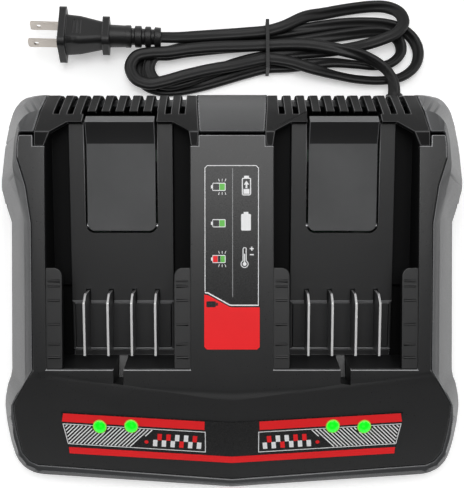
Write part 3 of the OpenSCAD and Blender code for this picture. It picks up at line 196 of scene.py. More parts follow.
def paint(obj, *mats):
    obj.data.materials.clear()
    for m in mats:
        obj.data.materials.append(m)


CARRIED = {
    "steel": ["flap_pin_left", "flap_pin_right", "flap_spring_left", "flap_spring_right"],
    "board": ["terminal_board_left", "terminal_board_right", "led_board_left", "led_board_right",
              "main_board"],
    "screw": ["block_screws", "led_board_screws", "board_screws", "housing_screws", "clamp_screws"],
    "ribbon": ["ribbon_left", "ribbon_right"],
    "header": ["ribbon_headers"],
    "film": ["status_label", "front_label"],
    "lamp": ["led_lamps"],
    "core": ["transformer_core"],
    "winding": ["transformer_winding"],
    "sleeve": ["bulk_capacitor", "output_capacitors"],
    "sink": ["heat_sink_left", "heat_sink_right"],
    "chip": ["power_transistors", "bridge_rectifier"],
    "choke": ["noise_choke"],
    "film_cap": ["film_capacitor"],
    "fuse": ["mains_fuse"],
    "blade": ["fuse_clips"],
    "terminal": ["mains_terminal"],
    "wire": ["mains_wires", "cord_clamp"],
    "foot": ["rubber_feet"],
    "cord": ["cord_strain_relief"],
    "tie": ["cord_tie"],
}
for key, names in CARRIED.items():
    for n in names:
        paint(nodes[n], M[key])


def new_object(name, verts, faces, mats, body="charger", smooth=True, angle=30.0,
               face_mats=None):
    me = bpy.data.meshes.new(name)
    me.from_pydata([tuple(v) for v in verts], [], [tuple(f) for f in faces])
    me.validate()
    ob = bpy.data.objects.new(name, me)
    scene.collection.objects.link(ob)
    for m in mats:
        me.materials.append(m)
    if face_mats is not None:
        me.polygons.foreach_set("material_index", face_mats)
    if smooth:
        me.shade_smooth()
        me.set_sharp_from_angle(angle=math.radians(angle))
    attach(ob, body)
    return ob


WELD = 2e-6  # m, corners this near are one
FLAT_DEG = 0.6  # faces this level with each other are one
EDGE_LENGTH = 2.4  # an edge is rounded from this length up, in widths of its rounding
FACE_AREA = 4.0  # and between faces of this area up, in squares of that width
SMOOTH_DEG, TRIMMED_SMOOTH_DEG = 30, 40  # a trimmed mesh has more facets to smooth over
NORMAL_WEIGHT = 60


def dress(node, width, key, body="charger", sharp=34.0, pale=None, dark=None, mesh=None):
    """A copy of a CAD node with its sharp edges rounded off.

    A rounded edge gets a painted highlight, a paler and glossier copy of the plastic, or only where
    pale(c) holds at its middle. Faces where dark(c, n) holds get painted shade, a darker, matter
    copy of the plastic. mesh takes the place of the node's own shape.
    """
    bm = bmesh.new()
    bm.from_mesh(mesh or nodes[node].data)
    bmesh.ops.remove_doubles(bm, verts=bm.verts, dist=WELD)
    bmesh.ops.dissolve_limit(bm, angle_limit=math.radians(FLAT_DEG), use_dissolve_boundaries=False,
                             verts=bm.verts, edges=bm.edges, delimit=set())
    bmesh.ops.dissolve_degenerate(bm, dist=WELD, edges=bm.edges)
    w = width * MM
    lo = np.min([v.co[:] for v in bm.verts], axis=0)
    hi = np.max([v.co[:] for v in bm.verts], axis=0)
    edges = [e for e in bm.edges
             if len(e.link_faces) == 2 and e.calc_face_angle(0.0) >= math.radians(sharp)
             and e.calc_length() >= EDGE_LENGTH * w
             and min(f.calc_area() for f in e.link_faces) >= FACE_AREA * w * w]
    for f in bm.faces:
        f.material_index = 0
    if edges:
        bmesh.ops.bevel(bm, geom=edges, offset=w, offset_type="OFFSET", segments=2, profile=0.5,
                        affect="EDGES", clamp_overlap=False, material=1, loop_slide=True,
                        miter_outer="SHARP")
    for v in bm.verts:  # the rounding stays inside the node's own box
        for k in range(3):
            v.co[k] = min(max(v.co[k], lo[k]), hi[k])
    bm.normal_update()
    for f in bm.faces:
        c = f.calc_center_median() / MM
        if f.material_index == 1 and pale is not None and not pale(c):
            f.material_index = 0
        if f.material_index == 0 and dark is not None and dark(c, f.normal):
            f.material_index = 2
    me = bpy.data.meshes.new(node + "_dressed")
    bm.to_mesh(me)
    bm.free()
    ob = bpy.data.objects.new(node + "_dressed", me)
    scene.collection.objects.link(ob)
    me.materials.append(M[key])
    me.materials.append(M[key + "_edge"])
    if dark is not None:
        me.materials.append(M[key + "_dark"])
    me.shade_smooth()
    smooth_deg = SMOOTH_DEG if mesh is None else TRIMMED_SMOOTH_DEG
    me.set_sharp_from_angle(angle=math.radians(smooth_deg))
    mod = ob.modifiers.new("normals", "WEIGHTED_NORMAL")
    mod.keep_sharp = True
    mod.weight = NORMAL_WEIGHT
    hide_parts(node)
    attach(ob, body)
    return ob


# ---------------------------------------------------------------- mains cord
# The cord's middle line from the rear wall to the plug: x, y, z in mm and its roll in degrees.
CTL = """
94 114 13 0
94.3 119.5 12.4 30
93.4 125 11.8 60
90.4 130.3 11.6 70
85 135 11.2 62
76.5 139.7 10.7 42
66 143.2 9.9 20
57 145.5 9.1 4
46 147.7 8.0 0
34 148.6 6.9 0
21 148.3 6.3 0
8 147.4 6.8 0
-8 146.4 8 0
-24 144.6 9.2 0
-38 142.6 9.3 0
-48.5 142 9.3 0
-56.6 139.8 9.3 0
-59.9 133.4 9.3 0
-56.6 125.8 9.3 0
-48.8 122.7 9.3 0
-40 124.2 9.3 0
-28 127.8 9.3 0
-14 131.4 9 0
0 134.4 8 0
12 137.6 6.8 0
21 139.5 6.3 0
34 137.5 6.6 10
47 133.2 7.1 12
60 130.2 4.8 40
75 127.6 3.8 42
90 127 3.8 42
101.5 129.5 3.8 42
109 136 3.8 42
111.3 144.5 3.8 42
108.6 153 3.8 42
101.5 159.6 3.8 42
92 162.6 3.8 40
80 163.4 3.8 38
67 163 3.6 35
53 161.3 3.3 25
40 159.4 2.9 10
30 157.9 2.7 0
21 157 2.7 0
8 155.8 2.5 0
-8 153.6 2.0 0
-22 150.2 1.9 0
-34 147.2 1.9 0
-43.5 144.3 1.9 0
-51.5 140.8 1.9 0
-55 133.2 1.9 0
-51.6 125.3 1.9 0
-43.8 121.8 1.9 0
-34 121.4 1.9 0
-20 124 1.9 0
-6 128 2 0
8 132.2 2.3 0
21 135.4 2.7 0
34 136 2.8 5
47 137.6 2.7 8
60 138.4 3.2 28
74 137 3.8 42
85 136 3.8 42
94.6 137.8 3.8 42
100.9 144.6 3.8 42
99.6 152.6 3.8 42
93 157.2 3.8 42
84 158 3.8 42
74 156.9 3.7 38
60 155 3.3 25
46 153 2.9 10
34 151.4 2.7 0
21 149.8 2.7 0
8 148.8 3.3 0
-6 147.2 4.5 0
-18 145.6 5.2 0
-28 144.2 5.6 0
-38 142.4 5.6 0
-46 141.6 5.6 0
-49.3 134 5.6 0
-46 126.6 5.6 0
-38.5 123.6 5.6 0
-28 125.6 5.6 0
-14 130.8 5.2 0
0 136.8 3.8 0
11 140.6 2.8 0
21 142.6 2.7 0
34 143.8 2.7 0
47 145 2.8 0
58 145.8 3.2 5
70 146.8 5.0 10
81 148.2 8 8
90 150.8 9.4 8
97.8 154.6 9.8 8
102 161 9.6 12
100 168 8.2 20
93.2 172.4 6.4 30
84 173.6 5.0 40
69 172 4.4 40
54.5 168.9 5 30
43.5 166.2 6.4 12
31 160.2 6.6 0
21 157.2 6.4 0
8 155.8 6.4 5
-8 154.4 6.8 0
-22 153 7.8 -5
-32 151.9 8.9 -11
-42.1 151.5 9.9 -15
"""
ctl = np.array([[float(v) for v in line.split()] for line in CTL.strip().splitlines()])


def smooth_route(c, step):
    """Centripetal Catmull-Rom curve through the route's points, in even steps."""
    out = []
    n = len(c)
    for i in range(n - 1):
        p1, p2 = c[i], c[i + 1]
        p0 = c[i - 1] if i else 2 * p1 - p2
        p3 = c[i + 2] if i + 2 < n else 2 * p2 - p1
        t0 = 0.0
        t1 = t0 + np.linalg.norm((p1 - p0)[:3]) ** 0.5
        t2 = t1 + np.linalg.norm((p2 - p1)[:3]) ** 0.5
        t3 = t2 + np.linalg.norm((p3 - p2)[:3]) ** 0.5
        m = max(2, int(np.linalg.norm((p2 - p1)[:3])))
        for k in range(m):
            t = t1 + (t2 - t1) * k / m
            a1 = (t1 - t) / (t1 - t0) * p0 + (t - t0) / (t1 - t0) * p1
            a2 = (t2 - t) / (t2 - t1) * p1 + (t - t1) / (t2 - t1) * p2
            a3 = (t3 - t) / (t3 - t2) * p2 + (t - t2) / (t3 - t2) * p3
            b1 = (t2 - t) / (t2 - t0) * a1 + (t - t0) / (t2 - t0) * a2
            b2 = (t3 - t) / (t3 - t1) * a2 + (t - t1) / (t3 - t1) * a3
            out.append((t2 - t) / (t2 - t1) * b1 + (t - t1) / (t2 - t1) * b2)
    out.append(c[-1])
    f = np.array(out)
    run = np.concatenate([[0], np.cumsum(np.linalg.norm(np.diff(f[:, :3], axis=0), axis=1))])
    s = np.linspace(0, run[-1], int(run[-1] / step) + 1)
    return np.stack([np.interp(s, run, f[:, k]) for k in range(4)], 1), run[-1]


ROUTE_STEP = 1.6  # mm between the cord's cross sections
CORD_W, CORD_T = 7.2, 3.6  # its width and thickness
GROOVE = 0.70  # depth left at the groove between the cores, in radii
FLOOR_CLEAR = 0.03  # the cord lies this far over the floor at least
route, cord_len = smooth_route(ctl, ROUTE_STEP)


def twin_section(w, t):
    """Outline of a flat twin cord: two round cores with a shallow groove between them."""
    pts = []
    r = t / 2
    c = w / 2 - r
    for a in (-90, -60, -30, 0, 30, 60, 90, 118):
        pts.append((c + r * math.cos(math.radians(a)), r * math.sin(math.radians(a))))
    pts.append((0.0, r * GROOVE))
    for a in (62, 90, 120, 150, 180, 210, 240, 270, 298):
        pts.append((-c + r * math.cos(math.radians(a)), r * math.sin(math.radians(a))))
    pts.append((0.0, -r * GROOVE))
    pts.append((c + r * math.cos(math.radians(-118)), r * math.sin(math.radians(-118))))
    return pts


section = twin_section(CORD_W, CORD_T)
tangent = np.gradient(route[:, :3], axis=0)
tangent /= np.linalg.norm(tangent, axis=1)[:, None]
side = np.cross(tangent, [0, 0, 1.0])
side /= np.linalg.norm(side, axis=1)[:, None]
up = np.cross(side, tangent)
roll = np.radians(route[:, 3])[:, None]
wide = side * np.cos(roll) + up * np.sin(roll)
thin = up * np.cos(roll) - side * np.sin(roll)
verts, faces = [], []
ns, nr = len(section), len(route)
for i in range(nr):
    for a, b in section:
        q = route[i, :3] + wide[i] * a + thin[i] * b
        verts.append((q[0] * MM, q[1] * MM, max(q[2], FLOOR_CLEAR) * MM))
for i in range(nr - 1):
    for k in range(ns):
        k2 = (k + 1) % ns
        faces.append((i * ns + k, i * ns + k2, (i + 1) * ns + k2, (i + 1) * ns + k))
faces.append(tuple(range(ns - 1, -1, -1)))
faces.append(tuple((nr - 1) * ns + k for k in range(ns)))
cord = new_object("mains_cord", verts, faces, [M["cord"]], angle=50)
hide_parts("cord_lead", "cord_hank", "cord_tail")

# ---------------------------------------------------------------- dressed shells
BAY_X = 57.2  # middle line of a bay
PLATFORM_HALF = 26.9  # half the width of its platform
RAIL_TOP = 36.0  # the side rails' tops lie above this height
RAIL_REAR = 4.8  # and in front of this y
RECESS = ((-35, -31.5), (-10, -7.5))  # front and rear rim of the contact recess, in y
SHOULDER_RUN = (-9.5, 5)  # stretch of the platform's side edges that gets the painted highlight, in y
FLAP_HALF, FLAP_RUN = 19.5, (22, 62)  # the flap's opening: half its width, and its run in y


def bay_off(c):
    """Distance of a point from the middle line of its own bay."""
    return abs(abs(c[0]) - BAY_X)


def within(v, span):
    """Whether v lies between the two ends of span."""
    return span[0] < v < span[1]


def tray_pale(c):
    """Rims of the contact recess and of the flap's opening, where a painted highlight stands for
    the light they catch.
    """
    off = bay_off(c)
    recess = off < PLATFORM_HALF - 0.2 and any(within(c[1], rim) for rim in RECESS)
    shoulder = abs(off - PLATFORM_HALF) < 1.0 and within(c[1], SHOULDER_RUN)
    return recess or shoulder or (off < FLAP_HALF and within(c[1], FLAP_RUN))


def deck_pale(c):
    """The bays' front rims and the deck's rear rim, which get a painted highlight."""
    return within(c[1], (-47, -43)) or c[1] > 60


def tray_dark(c, n):
    """The channels beside the platform, save the rails' tops, and the bay's front wall: painted
    shade.
    """
    off = bay_off(c)
    rail_top = n[2] > 0.8 and c[1] < RAIL_REAR and c[2] > RAIL_TOP
    front_wall = n[2] < 0.3 and c[1] < -30 and off > 3
    return (off > PLATFORM_HALF - 0.1 and not rail_top) or front_wall


def flap_dark(_, n):
    """The flap's upright faces, and those that slope down to the front, in painted shade."""
    return n[2] < 0.15 or n[1] < -0.45


def grille_dark(_, n):
    """Upright faces, of which most are the slots' walls, in painted shade."""
    return n[2] < 0.35


# Stations round the left half of the housing, front tip to rear middle: (x, y) at the seam, and
# (x, y, z) at the ridge. The rear's knees lie between the two.
SEAM = [(0, -105.6), (-104.5, -98.6), (-111, -95.6), (-115.5, -90.5), (-118.5, -82),
        (-121, -71), (-122.3, -60.5), (-120.8, -51.3), (-119.4, -47), (-118.8, -43),
        (-119.8, 35.2), (-123.5, 46), (-125.7, 54.5), (-123.8, 75),
        (-121.5, 87.5), (-119, 96), (-114, 102), (-106, 103.9), (0, 103.9)]
RIDGE = [(0, -104.2, 11.2), (-104, -96.4, 12.1), (-109.2, -93.8, 13.3), (-112.9, -88.8, 16.6),
         (-114.3, -78.6, 24.6), (-114.5, -68.6, 31.5), (-113.6, -62.7, 35.8), (-110, -57.2, 40.2),
         (-106, -53, 43.4), (-105, -48, 44.1), (-104.8, 29, 61.9), (-107.6, 41.5, 64.8),
         (-110.7, 54.5, 67.8), (-109.4, 68.5, 71.2), (-107.8, 76.5, 72.2),
         (-104.5, 83.5, 67.6), (-100, 86, 64.9), (-94, 86, 64.2), (0, 86, 64.2)]
REAR_KNEES = [(-112.5, 92.5, 51), (-108, 98, 50), (-101, 100.5, 49.2), (0, 100.5, 49)]
SEAM_Z, SEAM_RISE = 24, 0.154  # the seam's height at y = 0, and its climb towards the rear
ARC_STEPS = 5
ARC_REACH = 6.0  # mm from a corner to the ends of its arc,
ARC_SHARE = 0.47  # or this share of the side where that is less
NO_ARC = (0.001, 0.001)  # for the two stations on the middle line
FORM_WELD = 1e-7
GROW = 1.0004  # keeps the flat sides of the form just outside the node's own
TOP_CLEAR, SKIRT = 0.03, 6  # mm, over the ridge and below the seam


def whole(half):
    """The full loop from the stations of its left half."""
    left = [np.array(p, float) for p in half]
    return left + [p * (-1, 1, 1) for p in left[-2:0:-1]]


def swept(loop, cut):
    """The loop with each corner turned into an arc, which reaches cut[i] along its two sides."""
    out = []
    n = len(loop)
    for i in range(n):
        p0, p1, p2 = loop[i - 1], loop[i], loop[(i + 1) % n]
        a, b = cut[i]
        q0, q2 = p1 + (p0 - p1) * a, p1 + (p2 - p1) * b
        for k in range(ARC_STEPS + 1):
            t = k / ARC_STEPS
            out.append(q0 * (1 - t) ** 2 + p1 * 2 * t * (1 - t) + q2 * t * t)
    return out


def rounded_housing(node):
    """The node's mesh, its upright corners trimmed to smooth sweeps by a form round it."""
    seam = [(x, y, SEAM_Z + SEAM_RISE * y) for x, y in SEAM]
    sides = len(SEAM) - len(REAR_KNEES)
    knee = [tuple((np.array(a) + np.array(b)) / 2) for a, b in zip(seam[:sides], RIDGE[:sides])]
    knee += REAR_KNEES
    loops = [whole(seam), whole(knee), whole(RIDGE)]
    n = len(loops[0])
    cut = []
    for i in range(n):
        before = np.linalg.norm((loops[0][i] - loops[0][i - 1])[:2])
        after = np.linalg.norm((loops[0][(i + 1) % n] - loops[0][i])[:2])
        arc = (min(ARC_SHARE, ARC_REACH / before), min(ARC_SHARE, ARC_REACH / after))
        cut.append(NO_ARC if i in (0, n // 2) else arc)
    rings = [swept(loop, cut) for loop in loops]
    rings = [[p - (0, 0, SKIRT) for p in rings[0]]] + rings
    m = len(rings[0])
    v = [tuple((p * (GROW, GROW, 1) + (0, 0, TOP_CLEAR if r == 3 else 0.0)) * MM)
         for r, ring in enumerate(rings) for p in ring]
    v += [(0, 0, -0.05), (0, 0, 0.6)]  # tips of the form, far below and above the node
    f = []
    for r in range(3):
        for k in range(m):
            k2 = (k + 1) % m
            a, b, c, d = r * m + k, r * m + k2, (r + 1) * m + k, (r + 1) * m + k2
            f += [(a, b, c), (b, d, c)] if k < m / 2 else [(a, b, d), (a, d, c)]
    f += [(4 * m, (k + 1) % m, k) for k in range(m)]
    f += [(4 * m + 1, 3 * m + k, 3 * m + (k + 1) % m) for k in range(m)]
    me = bpy.data.meshes.new("housing_form")
    me.from_pydata(v, [], f)
    fb = bmesh.new()
    fb.from_mesh(me)
    bmesh.ops.remove_doubles(fb, verts=fb.verts, dist=FORM_WELD)
    bmesh.ops.recalc_face_normals(fb, faces=fb.faces)
    fb.to_mesh(me)
    fb.free()
    form = bpy.data.objects.new("housing_form", me)
    work = bpy.data.objects.new("housing_work", nodes[node].data.copy())
    wb = bmesh.new()
    wb.from_mesh(work.data)
    bmesh.ops.remove_doubles(wb, verts=wb.verts, dist=WELD)
    wb.to_mesh(work.data)
    wb.free()
    for ob in (form, work):
        scene.collection.objects.link(ob)
    mod = work.modifiers.new("trim", "BOOLEAN")
    mod.operation = "INTERSECT"
    mod.solver = "EXACT"
    mod.object = form
    bpy.context.view_layer.update()
    graph = bpy.context.evaluated_depsgraph_get()
    done = bpy.data.meshes.new_from_object(work.evaluated_get(graph))
    for ob in (form, work):
        bpy.data.objects.remove(ob, do_unlink=True)
    return done


smooth_surround = rounded_housing("surround")
dress("surround", 0.9, "surround", sharp=40, mesh=smooth_surround)
dress("deck", 0.45, "deck", pale=deck_pale)
dress("bay_tray_left", 0.4, "tray", pale=tray_pale, dark=tray_dark)
dress("bay_tray_right", 0.4, "tray", pale=tray_pale, dark=tray_dark)
dress("bottom_case", 0.6, "case")
dress("grille_left", 0.4, "grille", dark=grille_dark)
dress("grille_right", 0.4, "grille", dark=grille_dark)
dress("catch_flap_left", 0.4, "flap", body="flap_left", dark=flap_dark)
dress("catch_flap_right", 0.4, "flap", body="flap_right", dark=flap_dark)
dress("terminal_block_left", 0.25, "block")
dress("terminal_block_right", 0.25, "block")
M["blade_edge"] = M["blade"]
M["brass_edge"] = M["brass"]
plug = dress("plug_body", 0.5, "plug")
plug_blades = dress("plug_blades", 0.25, "brass")
plug_relief = dress("plug_strain_relief", 0.3, "plug")


def turned(droop, roll, origin):
    """From the plug's own axes to a plug that droops and rolls about origin, in degrees and mm."""
    return (Matrix.Translation(Vector(origin) * MM) @ Matrix.Rotation(math.radians(droop), 4, "Y")
            @ Matrix.Rotation(math.radians(roll), 4, "X"))


# The CAD plug is rolled far over. Here it lies nearly flat, its near blade a little the higher.
CAD_LIE = (7.0, 48.0, (-101, 154, 16.48))
FLAT_LIE = (3.6, -15.0, (-101, 151.5, 13.6))
lie = turned(*FLAT_LIE) @ turned(*CAD_LIE).inverted()
for piece in (plug, plug_blades, plug_relief):
    piece.data.transform(lie)
# a darker copy of the blade metal: painted reflection on the blades' broad sides
M["blade_dark"] = material("blade_side", (0.42, 0.42, 0.43), 0.35, metallic=1.0, grain=900,
                           bump=0.03, kind="brushed")


def blade_side(_, n):
    """A terminal blade's broad sides, in darker metal: a painted reflection of the dark bay."""
    return n[2] < 0.5


dress("terminal_blades_left", 0.22, "blade", dark=blade_side)
dress("terminal_blades_right", 0.22, "blade", dark=blade_side)

# ---------------------------------------------------------------- printed labels
DECK_TILT = math.radians(13)
FACE_TILT = math.radians(38)
FACE_SWEEP = math.radians(3.3)
DECK_MID_Z = 59.2  # height of the deck's plane at y = 0
FACE_MID = (0, -61, 43.177)  # a point of the front face on the middle line
INK_T = 0.07  # thickness of a print
MITRE_MIN = 0.35  # keeps a stroke's sharp corners from running out too far


def deck_frame():
    """x across, y up the slope and z out of the deck, in mm, from the deck's middle."""
    return (np.array([0, 0, DECK_MID_Z]), np.array([1, 0, 0]),
            np.array([0, math.cos(DECK_TILT), math.sin(DECK_TILT)]),
            np.array([0, -math.sin(DECK_TILT), math.cos(DECK_TILT)]))


def face_frame(s):
    """The same on the front face, whose left half (s = -1) and right half (s = 1) sweep back."""
    a = s * FACE_SWEEP
    ct, st = math.cos(FACE_TILT), math.sin(FACE_TILT)
    return (np.array(FACE_MID), np.array([math.cos(a), math.sin(a), 0]),
            np.array([-math.sin(a) * ct, math.cos(a) * ct, st]),
            np.array([math.sin(a) * st, -math.cos(a) * st, ct]))


class Ink:
    """Flat printed shapes gathered into one piece, each a thin raised patch with its own sides."""

    def __init__(self):
        self.v, self.f = [], []

    def patch(self, fr, pts, z, h=INK_T):
        """A flat shape with the outline pts in the frame fr, from height z to z + h."""
        o, ex, ey, ez = fr
        after = pts[1:] + pts[:1]
        if sum(x0 * y1 - x1 * y0 for (x0, y0), (x1, y1) in zip(pts, after)) < 0:
            pts = pts[::-1]
        n, b = len(pts), len(self.v)
        for zz in (z, z + h):
            for x, y in pts:
                self.v.append(tuple((o + ex * x + ey * y + ez * zz) * MM))
        self.f.append(tuple(b + k for k in range(n - 1, -1, -1)))
        self.f.append(tuple(b + n + k for k in range(n)))
        for k in range(n):
            k2 = (k + 1) % n
            self.f.append((b + k, b + k2, b + n + k2, b + n + k))

    def line(self, fr, pts, w, z, closed=False):
        """A stroke of width w along the points, in quads that share their mitred ends."""
        p = [np.array(q, float) for q in pts]
        n = len(p)
        left, right = [], []
        for i in range(n):
            a = p[i - 1] if (i or closed) else None
            c = p[(i + 1) % n] if (i + 1 < n or closed) else None
            d1 = (p[i] - a) / np.linalg.norm(p[i] - a) if a is not None else None
            d2 = (c - p[i]) / np.linalg.norm(c - p[i]) if c is not None else None
            if d1 is None:
                d1 = d2
            if d2 is None:
                d2 = d1
            n1, n2 = np.array([-d1[1], d1[0]]), np.array([-d2[1], d2[0]])
            m = (n1 + n2) / max(MITRE_MIN, 1 + float(n1 @ n2))
            left.append(p[i] + m * w / 2)
            right.append(p[i] - m * w / 2)
        for i in range(n if closed else n - 1):
            j = (i + 1) % n
            self.patch(fr, [tuple(left[i]), tuple(left[j]), tuple(right[j]), tuple(right[i])], z)

    def make(self, name, mat, slot):
        return new_object(name, self.v, self.f, [mat], smooth=False)


def rounded(x0, y0, x1, y1, r, n=5):
    """Outline of a box with corners of radius r."""
    pts = []
    for cx, cy, a0 in ((x1 - r, y0 + r, -90), (x1 - r, y1 - r, 0),
                       (x0 + r, y1 - r, 90), (x0 + r, y0 + r, 180)):
        for k in range(n + 1):
            a = math.radians(a0 + 90 * k / n)
            pts.append((cx + r * math.cos(a), cy + r * math.sin(a)))
    return pts


def Y(y):
    """Distance up the deck's slope of the point above model y."""
    return y / math.cos(DECK_TILT)


white, grey, red, green, black, rims = Ink(), Ink(), Ink(), Ink(), Ink(), Ink()
LAMPS = [(-67.5, -20.4), (-51.2, -18.9)]
LZ = 0.4  # height of the labels' faces over the frames' planes
OVER, OVER_T = 0.08, 0.04  # a second ink lies this far over the first, and is this thick
CELL_T = 0.05
df = deck_frame()
# status label: border, divider, red panel
white.line(df, [(-13.5, Y(-6.6)), (-13.5, Y(53.4)), (-12.3, Y(54.6)), (12.0, Y(54.6)),
                (13.2, Y(53.4)), (13.2, Y(-13.2))], 0.36, LZ)
white.line(df, [(-13.6, Y(-7.2)), (-12.0, Y(-7.4)), (-1.2, Y(-13.2)), (-0.1, Y(-13.4)),
                (13.4, Y(-13.4))], 0.6, LZ)
grey.line(df, [(0.3, Y(53.4)), (0.3, Y(-9.4))], 0.32, LZ)
red.patch(df, [(-13.9, Y(-8.2)), (-12.0, Y(-8.5)), (-1.3, Y(-14.1)), (-0.1, Y(-14.4)),
               (13.9, Y(-14.4)), (13.9, Y(-33.8)), (12.6, Y(-35.1)), (-12.6, Y(-35.1)),
               (-13.9, Y(-33.8))], LZ)


def box(x0, y0, x1, y1):
    return [(x0, y0), (x1, y0), (x1, y1), (x0, y1)]


def small_battery(cx, cy, cells, rays):
    """Pictogram of a charging state: a lying battery, terminal on the left, some with rays."""
    y = Y(cy)
    white.patch(df, rounded(cx - 3.2, y - 2.0, cx + 3.4, y + 2.0, 0.5, 3), LZ)
    white.patch(df, box(cx - 3.9, y - 0.8, cx - 3.1, y + 0.8), LZ)
    for x0, x1, ink in cells:
        ink.patch(df, box(cx + x0, y - 1.6, cx + x1, y + 1.6), LZ + INK_T, CELL_T)
    if rays:
        for sgn in (1, -1):
            for dx, lean in ((0.3, -0.45), (1.7, 0.0), (3.1, 0.45)):
                white.line(df, [(cx + dx, y + sgn * 2.7), (cx + dx + lean, y + sgn * 4.0)], 0.3, LZ)


small_battery(-6.6, 44.3, [(-2.9, 0.2, black), (0.4, 3.0, green)], True)
small_battery(-6.6, 26.6, [(-2.9, 0.2, black), (0.4, 3.0, green)], False)
small_battery(-6.6, 9.2, [(-2.9, -0.6, red), (-0.5, 0.85, black), (0.95, 3.0, green)], True)
# a dark battery on the red panel, terminal on the right
panel_mark_y = Y(-12.9)
black.patch(df, rounded(-12.8, panel_mark_y - 1.5, -8.1, panel_mark_y + 1.5, 0.5, 3),
            LZ + OVER, OVER_T)
black.patch(df, box(-8.0, panel_mark_y - 0.7, -7.0, panel_mark_y + 0.7), LZ + OVER, OVER_T)


def tall_battery(cx, cy, w, h, solid):
    """Standing battery, full, or with a low charge and an arrow pointing up."""
    y = Y(cy)
    x0, x1, y0, y1 = cx - w / 2, cx + w / 2, y - h / 2, y + h / 2 - 1.0
    white.patch(df, box(cx - 1.2, y1, cx + 1.2, y1 + 1.0), LZ)
    if solid:
        white.patch(df, rounded(x0, y0, x1, y1, 0.6, 3), LZ)
        return
    outline = rounded(x0 + 0.25, y0 + 0.25, x1 - 0.25, y1 - 0.25, 0.6, 3)
    white.line(df, outline, 0.5, LZ, closed=True)
    white.patch(df, box(x0 + 0.8, y0 + 0.8, x1 - 0.8, y0 + 3.2), LZ)
    white.patch(df, [(cx - 1.3, y0 + 5.4), (cx + 1.3, y0 + 5.4), (cx, y0 + 7.3)], LZ)
    white.patch(df, box(cx - 0.45, y0 + 3.6, cx + 0.45, y0 + 5.4), LZ)


tall_battery(7.2, 44.9, 4.6, 9.8, False)
tall_battery(7.0, 27.6, 4.9, 9.3, True)


def oval(cx, cy, rx, ry, n):
    """Outline of an oval with n corners."""
    turns = [2 * math.pi * k / n for k in range(n)]
    return [(cx + rx * math.cos(a), cy + ry * math.sin(a)) for a in turns]


def disc(cx, cy, r, n=20):
    return oval(cx, cy, r, r, n)


# thermometer: bulb and tube in three layers, each tube a hair over its bulb
bulb_x, bulb_y = 6.3, Y(10.2) - 3.5
HAIR, THIRD = 0.001, 0.13
for ink, bulb, tube, lift, thick in (
        (white, 2.0, rounded(5.3, bulb_y + 0.5, 7.3, bulb_y + 8.4, 0.9), 0.0, INK_T),
        (black, 1.55, rounded(5.75, bulb_y + 0.5, 6.85, bulb_y + 7.95, 0.5), OVER, OVER_T),
        (white, 0.95, box(6.05, bulb_y + 0.3, 6.55, bulb_y + 5.1), THIRD, OVER_T)):
    ink.patch(df, disc(bulb_x, bulb_y, bulb), LZ + lift, thick)
    ink.patch(df, tube, LZ + lift + HAIR, thick)
# a plus and a minus beside it
sign_y = Y(12.4)
white.patch(df, box(8.9, sign_y + 1.6, 10.9, sign_y + 2.2), LZ)
white.patch(df, box(9.6, sign_y + 0.9, 10.2, sign_y + 2.9), LZ + OVER, OVER_T)
white.patch(df, box(8.9, sign_y - 1.4, 10.9, sign_y - 0.8), LZ)

# front label: stripes, outlined box, hatch and checks, drawn for the left half and mirrored
HATCH_PITCH, HATCH_SAMPLES, HATCH_W = 2.0, 200, 0.6
HATCH_MIN = 12  # a stroke is drawn if more samples than this lie in the field
LAMP_CLEAR = 18.0  # square of the distance that the hatch keeps from a lamp's middle
CHECK_W, CHECK_LEAN = 2.29, 0.18
RIM_RX, RIM_RY = 3.65, 4.4  # half axes of the pale oval round a lamp
for sgn in (-1, 1):
    fr = face_frame(sgn)

    def mx(p, sgn=sgn):
        return [(-sgn * x, y) for x, y in p]

    red.patch(fr, mx([(-86.2, -13.2), (-13.4, -13.2), (-13.4, -18.6), (-87.1, -18.6)]), LZ)
    red.patch(fr, mx([(-84.2, -35.2), (1.6, -35.2), (1.79, -39.4), (-83.9, -39.4)]), LZ)
    field = [(-86.6, -20.0), (-12.9, -20.0), (-12.4, -33.1), (-84.4, -32.9)]
    white.line(fr, mx(field), 0.4, LZ, closed=True)
    for k in range(-6, 26):
        p0 = np.array([-88.0 + k * HATCH_PITCH, -32.4])
        p1 = np.array([-78.4 + k * HATCH_PITCH, -20.6])
        seg = []
        for q in range(HATCH_SAMPLES + 1):
            pt = p0 + (p1 - p0) * q / HATCH_SAMPLES
            # the slanting left and right edges of the hatched field, at this height
            edge_l = -84.0 - 2.2 * (pt[1] + 32.9) / 12.9
            edge_r = -51.4 + 13.0 * (pt[1] + 32.3) / 12.3
            clear = all((pt[0] - u) ** 2 + (pt[1] - v) ** 2 > LAMP_CLEAR for u, v in LAMPS)
            if edge_l + 0.2 < pt[0] < edge_r - 0.3 and clear:
                seg.append(tuple(pt))
            if seg and (q == HATCH_SAMPLES or tuple(pt) != seg[-1]):
                if len(seg) > HATCH_MIN:
                    white.line(fr, mx([seg[0], seg[-1]]), HATCH_W, LZ)
                seg = []
    red.patch(fr, mx(disc(-43.3, -28.7, 1.1, 12)), LZ)
    # two rows of checks, by column
    upper = {1: red, 3: red, 5: white, 7: white, 9: red}
    lower = {0: white, 2: white, 4: white, 6: red, 8: white, 10: white}
    for row, (y1, y0) in ((upper, (-22.9, -27.05)), (lower, (-27.05, -31.2))):
        for c, ink in row.items():
            x0 = -40.0 + c * CHECK_W
            x1 = x0 + CHECK_W
            check = [(x0, y0), (x1, y0), (x1 + CHECK_LEAN, y1), (x0 + CHECK_LEAN, y1)]
            ink.patch(fr, mx(check), LZ)
    for lamp_x, lamp_y in LAMPS:
        rims.patch(fr, mx(oval(lamp_x, lamp_y, RIM_RX, RIM_RY, 30)), LZ + OVER, CELL_T)

